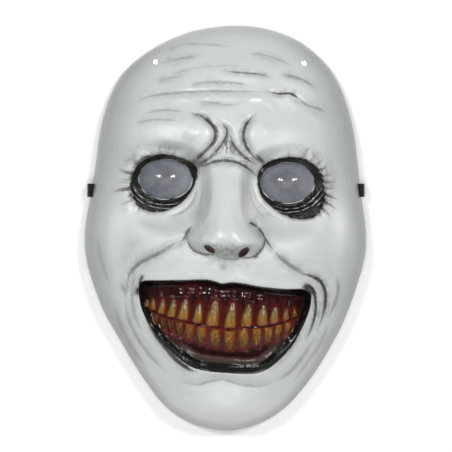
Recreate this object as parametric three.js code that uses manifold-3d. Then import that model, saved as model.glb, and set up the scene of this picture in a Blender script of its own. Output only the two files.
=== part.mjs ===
// Full face horror mask in vacuum formed plastic, lying face up on its rim.
// Millimetres. X runs to the viewer's right, Y to the crown, Z up, the way the face looks.
// The origin lies on the ground under the middle of the mask.

import * as THREE from 'three';
import { mergeVertices } from 'three/addons/utils/BufferGeometryUtils.js';
import Module from 'manifold-3d';

const wasm = await Module();
wasm.setup();

// Driving sizes of the shell
const domeHeight = 66;
const domeRoundness = 2.4;
const rimFade = 8;
const wall = 1.5;
const touchGap = 0.3;

// How finely the faces of the shell are split
const mesher = {
  onRim: 0.9999, slopeStep: 0.25, rimWeight: 4, lengthWeight: 0.004, startCells: 12, shareAtOnce: 0.06,
  fewestAtOnce: 8, outerTriangles: 5000, innerTriangles: 2300,
};

// The rim as seen from the front, clockwise from the crown
const rimPoints = [
  [6.5, 129.3], [27, 127], [46.5, 119.5], [61, 108], [70.3, 96], [77, 80.5], [81.7, 62.5], [84.3, 43.5],
  [86.2, 24.5], [88.6, 8], [89.9, -6], [88.7, -20.5], [84.3, -36], [78, -54], [71, -69], [57.4, -92],
  [41.8, -111.5], [28.5, -121.5], [14.5, -127.3], [0.5, -129.3], [-14, -127.3], [-28.5, -121.5],
  [-41, -111.5], [-55.3, -92], [-69, -69], [-77.5, -54], [-84.5, -36], [-88.8, -20.5], [-89.9, -6],
  [-88.5, 8], [-85.5, 24.5], [-82.5, 43.5], [-79.9, 62.5], [-75, 80.5], [-67.5, 96], [-56.5, 107.5],
  [-38.5, 119], [-18, 126.5],
];

// Broad forms of the face that rise or sink from the dome
const mounds = [
  { name: 'forehead', at: [0, 84], size: [52, 26], height: 4 },
  { name: 'brow, left', at: [-37, 60], size: [25, 11], height: 5 },
  { name: 'brow, right', at: [37, 60], size: [25, 11], height: 5 },
  { name: 'frown pad, left', at: [-15, 58], size: [9, 12], height: 3 },
  { name: 'frown pad, right', at: [20, 57], size: [9, 12], height: 3 },
  { name: 'cheekbone, left', at: [-54, -4], size: [22, 18], height: 5 },
  { name: 'cheekbone, right', at: [55, -6], size: [22, 18], height: 5 },
  { name: 'cheek pad, left', at: [-42, -13], size: [17, 14], height: 2.5 },
  { name: 'cheek pad, right', at: [42, -15], size: [17, 14], height: 2.5 },
  { name: 'muzzle', at: [0, -52], size: [52, 34], height: 7 },
  { name: 'upper lip', at: [1, -21], size: [32, 14], height: 4 },
  { name: 'chin', at: [1, -118], size: [38, 17], height: 20 },
  { name: 'temple, left', at: [-70, 58], size: [13, 24], height: -2.5 },
  { name: 'temple, right', at: [71, 58], size: [13, 24], height: -2.5 },
  { name: 'orbit, left', at: [-62, 27], size: [13, 22], height: 5 },
  { name: 'orbit, right', at: [64, 24], size: [13, 22], height: 5 },
];

// Nose: height and half width along the bridge, from the root down to the base
const nose = {
  axis: { top: [0.5, 42], tip: [0.9, -4] },
  profile: [
    { y: 47, height: 0, half: 11, squareness: 2 }, { y: 38, height: 2.8, half: 13, squareness: 2 },
    { y: 26, height: 7.8, half: 14.5, squareness: 2.1 }, { y: 14, height: 13.2, half: 14.5, squareness: 2.3 },
    { y: 4, height: 17.5, half: 14.5, squareness: 2.8 }, { y: -2, height: 18.8, half: 15, squareness: 3.3 },
    { y: -7, height: 18.3, half: 15.5, squareness: 3.4 }, { y: -12, height: 16.4, half: 16, squareness: 3.4 },
    { y: -22, height: 11, half: 16, squareness: 3.4 },
  ],
  baseMiddle: -22, baseCurve: 0.0125, baseFall: 11,
  wings: [
    { name: 'left', at: [-15.8, -8.6], size: [7, 7.2], height: 7.6 },
    { name: 'right', at: [17.6, -9.8], size: [7.2, 7.2], height: 7.6 },
  ],
};
const nostrils = [
  { at: [-9.8, -13], size: [4.4, 2.3], turn: -32, depth: 5 },
  { at: [11.3, -15], size: [4.6, 2.7], turn: 40, depth: 5 },
];

// Eyes: the opening for the lens, and the sunken socket around it
const eyes = [
  {
    side: 'left', at: [-37.5, 30.4], opening: [16.4, 12.3], socketAt: [-38.6, 28.6], socket: [22.5, 19.5],
    turn: -6, floor: 54.5,
  },
  {
    side: 'right', at: [38.8, 28.2], opening: [16.4, 12.6], socketAt: [40, 25.6], socket: [22.8, 20],
    turn: 8, floor: 54.5,
  },
];
const socket = { flat: 0.9, edge: 1.42, longerBelow: 0.4, squareness: 2.3 };
const lens = { play: 0.4, flange: 2.2, thickness: 0.8, rise: 6.4, steps: 4, sides: 26 };

// Mouth, clockwise from its left corner: the hollow, its lips and the bite between the rows of teeth
const mouthPoints = [
  [-52, -33], [-40, -32.4], [-27, -32.2], [-13, -31.8], [-6, -33], [-2.5, -34.2], [4.5, -33.5],
  [12.5, -34.5], [22, -36.2], [36.5, -37.4], [48.6, -37.3], [53.2, -40], [53.2, -46.5], [49.6, -57.8],
  [43.6, -69.2], [37.9, -77.4], [32.8, -83.3], [27.9, -87.4], [22.3, -90.1], [16.7, -91.1], [9.1, -91.1],
  [-1.4, -90.4], [-11.8, -89.4], [-21.5, -86.8], [-29.8, -81], [-37.6, -73], [-45, -63.8],
  [-50.4, -54.2], [-53.6, -45], [-54.5, -38],
];
const bitePoints = [
  [-53.5, -46.5], [-47, -51.5], [-37.5, -55.5], [-22, -59], [-8.5, -61.8], [3.5, -63.2], [15, -62],
  [24.5, -61.4], [30.5, -60.3], [38, -58.5], [44.5, -56.2], [50, -52],
];
const mouth = { depth: 7, edge: 5, outside: 0.6, lipRoll: 0.6, lipWidth: 3.2 };
const lowerLip = { height: 4.2, inside: 4.6, width: 3.4, from: -66, full: -80 };

// Teeth: the foot's middle and half width, and where the root ends
const upperTeeth = [
  [-49, 1.5, -48.9, -44.7], [-45.6, 1.9, -45.3, -43.9], [-40.2, 2.3, -38.9, -44.3],
  [-33.8, 2.6, -31.9, -44.7], [-26.5, 3.1, -24.7, -44.7], [-17.2, 2.8, -16.2, -46.8],
  [-8.2, 3.7, -6.1, -45.6], [2.8, 3.3, 4.7, -46.8], [12.9, 3.2, 14.7, -47.6], [23, 3.1, 23.8, -48.5],
  [30.4, 2.7, 31.3, -49.7], [37.9, 2, 38, -50], [43.4, 1.6, 43.3, -50.2],
];
const lowerTeeth = [
  [-43.7, 1.7, -43.4, -60], [-39.5, 1.8, -39.4, -62.6], [-34.3, 2.1, -34.2, -64.4],
  [-28.9, 2.2, -28.7, -66.6], [-22.3, 2.5, -22.2, -68], [-14.7, 2.6, -14.6, -70], [-6.3, 2.7, -6.2, -72.4],
  [2.7, 2.9, 2.6, -74.4], [11.2, 2.8, 11, -73.2], [19.7, 2.5, 19.4, -71.8], [27, 2.4, 26.6, -70.4],
  [33.3, 2.1, 32.9, -68], [39.4, 1.9, 38.8, -65.4],
];
const tooth = { height: 2.4, soft: 1.7, outside: 0.5, biteGap: 0.6, swell: 1.14 };
const rootShare = { upper: 0.5, lower: 0.78 };

// Folds and wrinkles: a groove along each route, with a soft shoulder on both sides
const folds = [
  { name: 'frown, left outer', depth: 1.9, width: 2.2,
    route: [[-21.5, 72], [-15, 69.8], [-11, 67], [-6.8, 62.5], [-6, 58], [-7.5, 53], [-12, 48.8],
      [-18.5, 45]] },
  { name: 'frown, left inner', depth: 1.5, width: 1.8,
    route: [[-4.6, 68], [-1, 64], [0.8, 61], [0.5, 57], [-4, 49.5], [-9, 45.5], [-16, 42]] },
  { name: 'frown, right outer', depth: 1.9, width: 2.2,
    route: [[18.5, 71], [15, 67.5], [12.6, 64], [11, 58], [12.4, 51.5], [16.5, 45.5], [24, 38.5]] },
  { name: 'frown, right inner', depth: 1.5, width: 1.8,
    route: [[2.2, 60], [4.2, 53], [8, 47.6], [13.5, 43], [20, 38.5]] },
  { name: 'nose root', depth: 1.3, width: 1.8,
    route: [[-20, 37], [-11, 39.8], [-4, 41.8], [4, 41.6], [10, 39.6], [15.5, 36], [20.5, 31.5]] },
  { name: 'cheek fold, inner right', depth: 1.6, width: 1.9,
    route: [[49, -33.5], [54, -37.5], [56.2, -44.5], [56.4, -52], [54.5, -61], [50.5, -71]] },
  { name: 'cheek fold, outer right', depth: 1.8, width: 2.2,
    route: [[44, -27.5], [52, -29.5], [58.5, -32.5], [62, -38], [62.8, -45], [61.5, -54], [58, -64]] },
  { name: 'cheek fold, far right', depth: 0.8, width: 1.8,
    route: [[70, -30], [71, -38], [69, -47], [64, -58]] },
  { name: 'nose wing, right', depth: 2, width: 2.4,
    route: [[18, 3], [21, -0.5], [23.5, -4.5], [26.8, -9.8], [31, -15]] },
  { name: 'nose to mouth, right', depth: 1.6, width: 2.8,
    route: [[30, -14], [35.5, -19.5], [42, -24.5], [50, -28.5]] },
  { name: 'nose wing, left', depth: 1.8, width: 2.4,
    route: [[-20.5, 1.5], [-23.5, -2], [-25, -5.5], [-28, -8.5]] },
  { name: 'nose to mouth, left', depth: 1.8, width: 2.8,
    route: [[-27, -6.5], [-33, -10.5], [-40, -15], [-50, -20], [-56, -24], [-60.5, -30], [-61.5, -38]] },
  { name: 'cheek fold, left', depth: 1, width: 2.2,
    route: [[-56, -27], [-57.5, -34], [-58.5, -44], [-56.5, -56], [-52, -66]] },
  { name: 'jaw, left', depth: 1.2, width: 2.4,
    route: [[-63, -44], [-61, -57], [-55, -70], [-46, -82], [-36, -91]] },
  { name: 'jaw, left outer', depth: 0.9, width: 2.4,
    route: [[-70, -48], [-66, -62], [-58, -77], [-48, -90]] },
  { name: 'jaw, right', depth: 1.2, width: 2.4, route: [[57, -68], [50, -79], [41, -90], [31, -97]] },
  { name: 'jaw, right outer', depth: 0.9, width: 2.4, route: [[66, -58], [60, -72], [51, -86], [42, -98]] },
  { name: 'under the lip', depth: 2.2, width: 3.2,
    route: [[-29.3, -95.9], [-22.1, -97.7], [-16.6, -98], [-11.7, -96.5], [-3.4, -94.9], [1, -95.4],
      [9.1, -98], [14, -98.7], [22.1, -99.1], [27.8, -97.4], [32.2, -94.2]] },
  { name: 'forehead 1', depth: 0.7, width: 2.2, route: [[-37, 113], [-24, 116.5], [-8, 115.5], [6, 114.5]] },
  { name: 'forehead 2', depth: 0.8, width: 2.2, route: [[16, 110], [24, 108.8], [34, 105.8], [44, 101]] },
  { name: 'forehead 3', depth: 0.9, width: 2,
    route: [[-2, 98.4], [10, 97.2], [20, 96.4], [29, 94.4], [40, 95.8], [47, 93.8], [53, 90.5], [58, 86]] },
  { name: 'forehead 4', depth: 1, width: 2,
    route: [[-56, 79], [-46, 83], [-30, 84.6], [-12, 85.6], [8, 85.2], [25, 85.4], [40, 84.2], [50, 77.6],
      [58, 75]] },
  { name: 'forehead 5', depth: 0.8, width: 2, route: [[-17, 78.6], [-7, 78.2], [1, 77], [9, 77.4]] },
];
// Shape of one groove: its shoulders, how its ends run out, and its softer trace on the inside
const groove = { shoulder: 0.2, shoulderAt: 2, shoulderWidth: 1.2, reach: 5, endSlope: 4, endStart: 0.04 };
const innerFold = { share: 0.95, spread: 1.3, fromDepth: 1 };

// Holes through the wall
const foreheadHoles = { places: [[-44.3, 105], [49.6, 104]], diameter: 3, sides: 12, from: 5, to: 80 };
const eyeCut = { sides: 40, from: 30, to: 90 };
const strapAt = 24;
const slot = { length: 9.5, height: 2.2, upper: 12.8, lower: 7.2, reach: 12 };

// Elastic strap
const strap = { width: 8.5, thickness: 1.2, chamfer: 0.35, loopOut: 3.1, loopBends: 6, twistLength: 26 };
const wallAtStrap = { left: -85, right: 85.6 };
const strapRoute = [
  [-73.2, 24, 10.6], [-71, 24, 10.6], [-66.8, 25.1, 9.2], [-62.2, 28, 7.2], [-58.4, 32.6, 5.6],
  [-56.4, 38.4, 4.8], [-55.8, 44.6, 4.6], [-54, 51, 4.6], [-49.6, 58, 4.6], [-43, 64.2, 4.6],
  [-34.6, 69.4, 4.6],
  [-24.6, 73, 4.6], [-13, 75.2, 4.6], [-1, 76, 4.6], [11, 75.4, 4.6], [22.6, 73.6, 4.6],
  [33.4, 69.8, 4.6], [42.2, 64.8, 4.6], [49.2, 58.4, 4.6], [53.8, 51.2, 4.6], [56, 44.4, 4.6],
  [56.8, 38.2, 4.8], [59, 32.4, 5.6], [62.8, 28, 7.2], [67.4, 25.1, 9.2], [71.6, 24, 10.6], [73.8, 24, 10.6],
];

const clamp01 = (value) => Math.min(1, Math.max(0, value));

function smoothStep(from, to, value) {
  const t = clamp01((value - from) / (to - from));
  return t * t * (3 - 2 * t);
}

// A smooth curve through chosen points, as short straight steps
function throughPoints(points, closed, stepsPerPoint) {
  const corners = points.map(([x, y, z = 0]) => new THREE.Vector3(x, y, z));
  const curve = new THREE.CatmullRomCurve3(corners, closed, 'catmullrom', 0.5);
  const steps = (closed ? points.length : points.length - 1) * stepsPerPoint;
  return curve.getPoints(steps).map((point) => [point.x, point.y, point.z]);
}

// Distance to an open route, and how far along it the nearest place is
function nearRoute(x, y, line) {
  let best = Infinity;
  let along = 0;
  for (let i = 0; i + 1 < line.length; i += 1) {
    const [ax, ay] = line[i];
    const dx = line[i + 1][0] - ax;
    const dy = line[i + 1][1] - ay;
    const t = clamp01(((x - ax) * dx + (y - ay) * dy) / (dx * dx + dy * dy));
    const distance = Math.hypot(x - ax - t * dx, y - ay - t * dy);
    if (distance < best) {
      best = distance;
      along = (i + t) / (line.length - 1);
    }
  }
  return { distance: best, along };
}

// Signed distance to a closed outline, negative inside
function toOutline(x, y, line) {
  let inside = false;
  for (let i = 0; i + 1 < line.length; i += 1) {
    const [ax, ay] = line[i];
    const [bx, by] = line[i + 1];
    if ((ay > y) !== (by > y) && x < ax + ((y - ay) / (by - ay)) * (bx - ax)) inside = !inside;
  }
  const { distance } = nearRoute(x, y, line);
  return inside ? -distance : distance;
}

// A round or oval hump, 1 at its middle and fading to 0
function hump(x, y, { at, size, turn = 0 }) {
  const angle = THREE.MathUtils.degToRad(turn);
  const dx = x - at[0];
  const dy = y - at[1];
  const u = (dx * Math.cos(angle) + dy * Math.sin(angle)) / size[0];
  const v = (dy * Math.cos(angle) - dx * Math.sin(angle)) / size[1];
  return Math.exp(-(u * u + v * v));
}

// A value between two neighbouring stations of a list
function byStation(stations, y, key) {
  if (y >= stations[0].y) return stations[0][key];
  for (let i = 0; i + 1 < stations.length; i += 1) {
    const upper = stations[i];
    const lower = stations[i + 1];
    if (y >= lower.y) {
      const t = (upper.y - y) / (upper.y - lower.y);
      return upper[key] + (lower[key] - upper[key]) * t;
    }
  }
  return stations[stations.length - 1][key];
}

const rimLine = throughPoints(rimPoints, true, 8);
const mouthLine = throughPoints(mouthPoints, true, 5);
const biteLine = throughPoints(bitePoints, false, 5);
const foldLines = folds.map((fold) => ({ ...fold, line: throughPoints(fold.route, false, 5) }));

// Rim radius by angle around the origin
const rimSteps = 720;
const rimRadius = Array.from({ length: rimSteps }, (_, step) => {
  const angle = (step / rimSteps) * 2 * Math.PI;
  const dirX = Math.cos(angle);
  const dirY = Math.sin(angle);
  for (let i = 0; i + 1 < rimLine.length; i += 1) {
    const [ax, ay] = rimLine[i];
    const ex = rimLine[i + 1][0] - ax;
    const ey = rimLine[i + 1][1] - ay;
    const cross = dirX * ey - dirY * ex;
    if (Math.abs(cross) < 1e-9) continue;
    const t = (ax * ey - ay * ex) / cross;
    const s = (ax * dirY - ay * dirX) / cross;
    if (t > 0 && s >= 0 && s <= 1) return t;
  }
  return 0;
});

function rimAt(angle) {
  const place = ((angle / (2 * Math.PI) + 1) % 1) * rimSteps;
  const low = Math.floor(place) % rimSteps;
  return THREE.MathUtils.lerp(rimRadius[low], rimRadius[(low + 1) % rimSteps], place - Math.floor(place));
}

function noseHeight(x, y) {
  const { axis, profile, wings } = nose;
  const share = (axis.top[1] - y) / (axis.top[1] - axis.tip[1]);
  const middle = THREE.MathUtils.lerp(axis.top[0], axis.tip[0], share);
  const across = Math.abs(x - middle) / byStation(profile, y, 'half');
  let height = byStation(profile, y, 'height') * Math.exp(-(across ** byStation(profile, y, 'squareness')));
  for (const wing of wings) height += wing.height * hump(x, y, wing);
  const base = nose.baseMiddle + nose.baseCurve * (x - middle) ** 2;
  return height * smoothStep(base, base + nose.baseFall, y);
}

// 0 on the floor of a socket and 1 outside it, with a longer slope below the eye
function socketRise(x, y, eye) {
  const angle = THREE.MathUtils.degToRad(eye.turn);
  const dx = x - eye.socketAt[0];
  const dy = y - eye.socketAt[1];
  const u = (dx * Math.cos(angle) + dy * Math.sin(angle)) / eye.socket[0];
  const v = (dy * Math.cos(angle) - dx * Math.sin(angle)) / eye.socket[1];
  const power = socket.squareness;
  const reach = (Math.abs(u) ** power + Math.abs(v) ** power) ** (1 / power);
  const down = clamp01(-v / Math.max(Math.hypot(u, v), 0.01));
  return smoothStep(socket.flat, socket.edge + socket.longerBelow * down ** 1.5, reach);
}

// Large forms, the shape that both faces of the wall follow
function broadForm(x, y) {
  const rho = Math.min(1, Math.hypot(x, y) / rimAt(Math.atan2(y, x)));
  let height = noseHeight(x, y);
  for (const mound of mounds) height += mound.height * hump(x, y, mound);
  for (const nostril of nostrils) height -= nostril.depth * hump(x, y, nostril);
  const toMouth = toOutline(x, y, mouthLine);
  height -= mouth.depth * smoothStep(-mouth.outside, mouth.edge, -toMouth);
  height += mouth.lipRoll * Math.exp(-(((toMouth - 1) / mouth.lipWidth) ** 2));
  const lipBand = Math.exp(-(((toMouth + lowerLip.inside) / lowerLip.width) ** 2));
  height += lowerLip.height * smoothStep(lowerLip.from, lowerLip.full, y) * lipBand;
  let z = domeHeight * Math.sqrt(1 - rho ** domeRoundness) + height * (1 - rho ** rimFade);
  for (const eye of eyes) z = THREE.MathUtils.lerp(eye.floor, z, socketRise(x, y, eye));
  return z;
}

// One row of teeth: distance to the nearest tooth, negative inside it
function toTeeth(x, y, row, direction) {
  let best = Infinity;
  for (const [footX, half, rootX, rootY] of row) {
    const foot = half * tooth.swell;
    const root = foot * (direction > 0 ? rootShare.upper : rootShare.lower);
    const ay = biteHeight(footX) + direction * (tooth.biteGap + foot);
    const by = rootY - direction * root;
    const dx = rootX - footX;
    const dy = by - ay;
    const t = clamp01(((x - footX) * dx + (y - ay) * dy) / (dx * dx + dy * dy));
    const distance = Math.hypot(x - footX - t * dx, y - ay - t * dy);
    best = Math.min(best, distance - THREE.MathUtils.lerp(foot, root, t));
  }
  return best;
}

function biteHeight(x) {
  for (let i = 0; i + 1 < biteLine.length; i += 1) {
    const [ax, ay] = biteLine[i];
    const [bx, by] = biteLine[i + 1];
    if (x >= ax && x <= bx) return ay + ((x - ax) / (bx - ax)) * (by - ay);
  }
  return x < biteLine[0][0] ? biteLine[0][1] : biteLine[biteLine.length - 1][1];
}

// Grooves of all folds, with the shoulders beside them
function foldRelief(x, y, lines, share, spread) {
  let height = 0;
  for (const fold of lines) {
    const width = fold.width * spread;
    const { distance, along } = nearRoute(x, y, fold.line);
    if (distance > width * groove.reach) continue;
    const fromEnd = Math.min(along, 1 - along) + groove.endStart;
    const taper = Math.min(1, groove.endSlope * fromEnd);
    const hollow = Math.exp(-((distance / width) ** 2));
    const beside = (distance / width - groove.shoulderAt) / groove.shoulderWidth;
    height += share * fold.depth * taper * (groove.shoulder * Math.exp(-(beside ** 2)) - hollow);
  }
  return height;
}

// Small forms on the outside of the wall: the teeth and the sharp grooves
function outerRelief(x, y) {
  let height = foldRelief(x, y, foldLines, 1, 1);
  if (toOutline(x, y, mouthLine) < 0) {
    const distance = Math.min(toTeeth(x, y, upperTeeth, 1), toTeeth(x, y, lowerTeeth, -1));
    height += tooth.height * smoothStep(tooth.outside, -tooth.soft, distance);
  }
  return height;
}

// The inside follows only the deeper folds, softened by the thickness of the sheet
const deepLines = foldLines.filter((fold) => fold.depth >= innerFold.fromDepth);
const innerRelief = (x, y) => foldRelief(x, y, deepLines, innerFold.share, innerFold.spread);

// The face of the wall over a unit disc: s runs from the middle to the rim
function place(u, v, relief) {
  const s = Math.min(1, Math.hypot(u, v));
  const angle = Math.atan2(v, u);
  const rho = Math.sin((s * Math.PI) / 2);
  const x = rho * rimAt(angle) * Math.cos(angle);
  const y = rho * rimAt(angle) * Math.sin(angle);
  if (s > mesher.onRim) return new THREE.Vector3(x, y, 0);
  return new THREE.Vector3(x, y, broadForm(x, y) + relief(x, y) * (1 - rho ** rimFade));
}

const outerFace = (u, v) => place(u, v, outerRelief);

function innerFace(u, v) {
  const point = place(u, v, innerRelief);
  const outward = new THREE.Vector3(point.x, point.y, 0);
  if (Math.hypot(u, v) < mesher.onRim) {
    const step = mesher.slopeStep;
    const height = (x, y) => broadForm(x, y) + innerRelief(x, y);
    const riseX = height(point.x + step, point.y) - height(point.x - step, point.y);
    const riseY = height(point.x, point.y + step) - height(point.x, point.y - step);
    outward.set(-riseX, -riseY, 2 * step);
  }
  return point.addScaledVector(outward.normalize(), -wall);
}

// Triangles over the disc, split at their longest edge where the face bends most
function bentMesh(face, budget) {
  const flat = [];
  const points = [];
  const triangles = [];
  const edgeOwner = new Map();
  const edgeError = new Map();
  const keyOf = (a, b) => (a < b ? `${a},${b}` : `${b},${a}`);

  function addPoint(u, v) {
    flat.push([u, v]);
    points.push(face(u, v));
    return points.length - 1;
  }

  function midOf(a, b) {
    const u = (flat[a][0] + flat[b][0]) / 2;
    const v = (flat[a][1] + flat[b][1]) / 2;
    const radius = Math.hypot(u, v);
    const alongRim = Math.hypot(...flat[a]) > mesher.onRim && Math.hypot(...flat[b]) > mesher.onRim;
    return alongRim ? [u / radius, v / radius] : [u, v];
  }

  function errorOf(a, b) {
    const key = keyOf(a, b);
    if (!edgeError.has(key)) {
      const [u, v] = midOf(a, b);
      const middle = points[a].clone().add(points[b]).multiplyScalar(0.5);
      const weight = Math.hypot(u, v) > mesher.onRim ? mesher.rimWeight : 1;
      const length = points[a].distanceTo(points[b]);
      edgeError.set(key, weight * face(u, v).distanceTo(middle) + mesher.lengthWeight * length);
    }
    return edgeError.get(key);
  }

  function longestEdge(corners) {
    let best = 0;
    let length = -1;
    for (let i = 0; i < 3; i += 1) {
      const span = points[corners[i]].distanceTo(points[corners[(i + 1) % 3]]);
      if (span > length) {
        length = span;
        best = i;
      }
    }
    return best;
  }

  function addTriangle(corners) {
    const id = triangles.push(corners) - 1;
    for (let i = 0; i < 3; i += 1) edgeOwner.set(`${corners[i]},${corners[(i + 1) % 3]}`, id);
    return id;
  }

  function removeTriangle(id) {
    const corners = triangles[id];
    for (let i = 0; i < 3; i += 1) edgeOwner.delete(`${corners[i]},${corners[(i + 1) % 3]}`);
    triangles[id] = null;
  }

  function split(id) {
    let corners = triangles[id];
    if (!corners) return;
    const i = longestEdge(corners);
    const a = corners[i];
    const b = corners[(i + 1) % 3];
    let other = edgeOwner.get(`${b},${a}`);
    while (other !== undefined) {
      const facing = triangles[other];
      const j = longestEdge(facing);
      if (facing[j] === b && facing[(j + 1) % 3] === a) break;
      split(other);
      other = edgeOwner.get(`${b},${a}`);
    }
    corners = triangles[id];
    if (!corners) return;
    const middle = addPoint(...midOf(a, b));
    const c = corners[(i + 2) % 3];
    removeTriangle(id);
    addTriangle([a, middle, c]);
    addTriangle([middle, b, c]);
    if (other !== undefined) {
      const facing = triangles[other];
      const j = longestEdge(facing);
      const d = facing[(j + 2) % 3];
      removeTriangle(other);
      addTriangle([b, middle, d]);
      addTriangle([middle, a, d]);
    }
  }

  const start = mesher.startCells;
  const ids = [];
  for (let row = 0; row <= start; row += 1) {
    ids.push([]);
    for (let column = 0; column <= start; column += 1) {
      const a = (2 * column) / start - 1;
      const b = (2 * row) / start - 1;
      const size = Math.max(Math.abs(a), Math.abs(b));
      const length = Math.hypot(a, b) || 1;
      ids[row].push(addPoint((a * size) / length, (b * size) / length));
    }
  }
  for (let row = 0; row < start; row += 1) {
    for (let column = 0; column < start; column += 1) {
      const [a, b] = [ids[row][column], ids[row][column + 1]];
      const [d, c] = [ids[row + 1][column], ids[row + 1][column + 1]];
      const risingDiagonal = (row < start / 2) !== (column < start / 2);
      if (risingDiagonal) {
        addTriangle([a, b, d]);
        addTriangle([b, c, d]);
      } else {
        addTriangle([a, b, c]);
        addTriangle([a, c, d]);
      }
    }
  }

  let count = triangles.length;
  while (count < budget) {
    const ranked = [];
    triangles.forEach((corners, id) => {
      if (!corners) return;
      const [a, b, c] = corners;
      ranked.push([Math.max(errorOf(a, b), errorOf(b, c), errorOf(c, a)), id]);
    });
    ranked.sort((p, q) => q[0] - p[0]);
    const atOnce = Math.max(mesher.fewestAtOnce, Math.floor(ranked.length * mesher.shareAtOnce));
    for (const [, id] of ranked.slice(0, atOnce)) {
      if (triangles[id]) split(id);
    }
    count = triangles.filter(Boolean).length;
  }
  return { flat, points, triangles: triangles.filter(Boolean) };
}

// Rim corners of a face in order around the disc
function rimLoop(mesh) {
  const loop = [];
  mesh.flat.forEach(([u, v], id) => {
    if (Math.hypot(u, v) > mesher.onRim) loop.push([Math.atan2(v, u), id]);
  });
  loop.sort((p, q) => p[0] - q[0]);
  return [...loop, [loop[0][0] + 2 * Math.PI, loop[0][1]]];
}

function solidOf(positions, indices) {
  return new wasm.Manifold(new wasm.Mesh({
    numProp: 3,
    vertProperties: Float32Array.from(positions),
    triVerts: Uint32Array.from(indices),
  }));
}

// Outer face, inner face turned over, and the flat rim that joins them
function shellSolid() {
  const outer = bentMesh(outerFace, mesher.outerTriangles);
  const inner = bentMesh(innerFace, mesher.innerTriangles);
  const positions = [];
  const indices = [];
  for (const point of [...outer.points, ...inner.points]) positions.push(point.x, point.y, point.z);
  const offset = outer.points.length;
  for (const [a, b, c] of outer.triangles) indices.push(a, b, c);
  for (const [a, b, c] of inner.triangles) indices.push(offset + a, offset + c, offset + b);
  const outerRim = rimLoop(outer);
  const innerRim = rimLoop(inner);
  let i = 0;
  let j = 0;
  while (i + 1 < outerRim.length || j + 1 < innerRim.length) {
    const a = outerRim[i][1];
    const b = offset + innerRim[j][1];
    const nextOuter = i + 1 < outerRim.length ? outerRim[i + 1][0] : Infinity;
    const nextInner = j + 1 < innerRim.length ? innerRim[j + 1][0] : Infinity;
    if (nextOuter <= nextInner) {
      indices.push(a, b, outerRim[i + 1][1]);
      i += 1;
    } else {
      indices.push(a, b, offset + innerRim[j + 1][1]);
      j += 1;
    }
  }
  return solidOf(positions, indices);
}

const mergeDistance = 1e-4;

function toSolid(geometry) {
  const bare = geometry.clone();
  bare.deleteAttribute('normal');
  bare.deleteAttribute('uv');
  const merged = mergeVertices(bare, mergeDistance);
  return solidOf(merged.attributes.position.array, merged.index.array);
}

function toGeometry(solid) {
  const mesh = solid.getMesh();
  const geometry = new THREE.BufferGeometry();
  geometry.setAttribute('position', new THREE.BufferAttribute(Float32Array.from(mesh.vertProperties), 3));
  geometry.setIndex(new THREE.BufferAttribute(Uint32Array.from(mesh.triVerts), 1));
  return geometry;
}

// An upright oval plug used to cut an opening
function plug([x, y], [halfX, halfY], { sides, from, to }) {
  const geometry = new THREE.CylinderGeometry(1, 1, to - from, sides);
  geometry.rotateX(Math.PI / 2);
  geometry.scale(halfX, halfY, 1);
  geometry.translate(x, y, (from + to) / 2);
  return toSolid(geometry);
}

function cutShell() {
  let shell = shellSolid();
  for (const eye of eyes) shell = shell.subtract(plug(eye.at, eye.opening, eyeCut));
  const radius = foreheadHoles.diameter / 2;
  for (const at of foreheadHoles.places) shell = shell.subtract(plug(at, [radius, radius], foreheadHoles));
  for (const wallX of [wallAtStrap.left, wallAtStrap.right]) {
    for (const height of [slot.upper, slot.lower]) {
      const box = new THREE.BoxGeometry(slot.reach, slot.length, slot.height);
      box.translate(wallX, strapAt, height);
      shell = shell.subtract(toSolid(box));
    }
  }
  return shell;
}

// Points on a ball's profile from its top down to a height
function capProfile(ball, middle, endHeight) {
  const reach = Math.acos((endHeight - middle) / ball);
  return Array.from({ length: lens.steps + 1 }, (_, i) => {
    const angle = (reach * i) / lens.steps;
    return new THREE.Vector2(ball * Math.sin(angle), middle + ball * Math.cos(angle));
  });
}

// A cap of a ball with a flat flange, turned as a ring and stretched to the oval of its opening
function lensGeometry(eye) {
  const radius = eye.opening[0] - lens.play;
  const outerRadius = radius + lens.flange;
  const ball = (radius ** 2 + lens.rise ** 2) / (2 * lens.rise);
  const middle = lens.rise - ball;
  const profile = [
    ...capProfile(ball, middle, 0),
    new THREE.Vector2(outerRadius, 0),
    new THREE.Vector2(outerRadius, -lens.thickness),
    ...capProfile(ball - lens.thickness, middle, -lens.thickness).reverse(),
  ];
  const geometry = new THREE.LatheGeometry(profile.reverse(), lens.sides);
  geometry.rotateX(Math.PI / 2);
  geometry.scale(1, (eye.opening[1] - lens.play + lens.flange) / outerRadius, 1);
  geometry.translate(eye.at[0], eye.at[1], eye.floor - wall - touchGap);
  return geometry;
}

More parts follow.
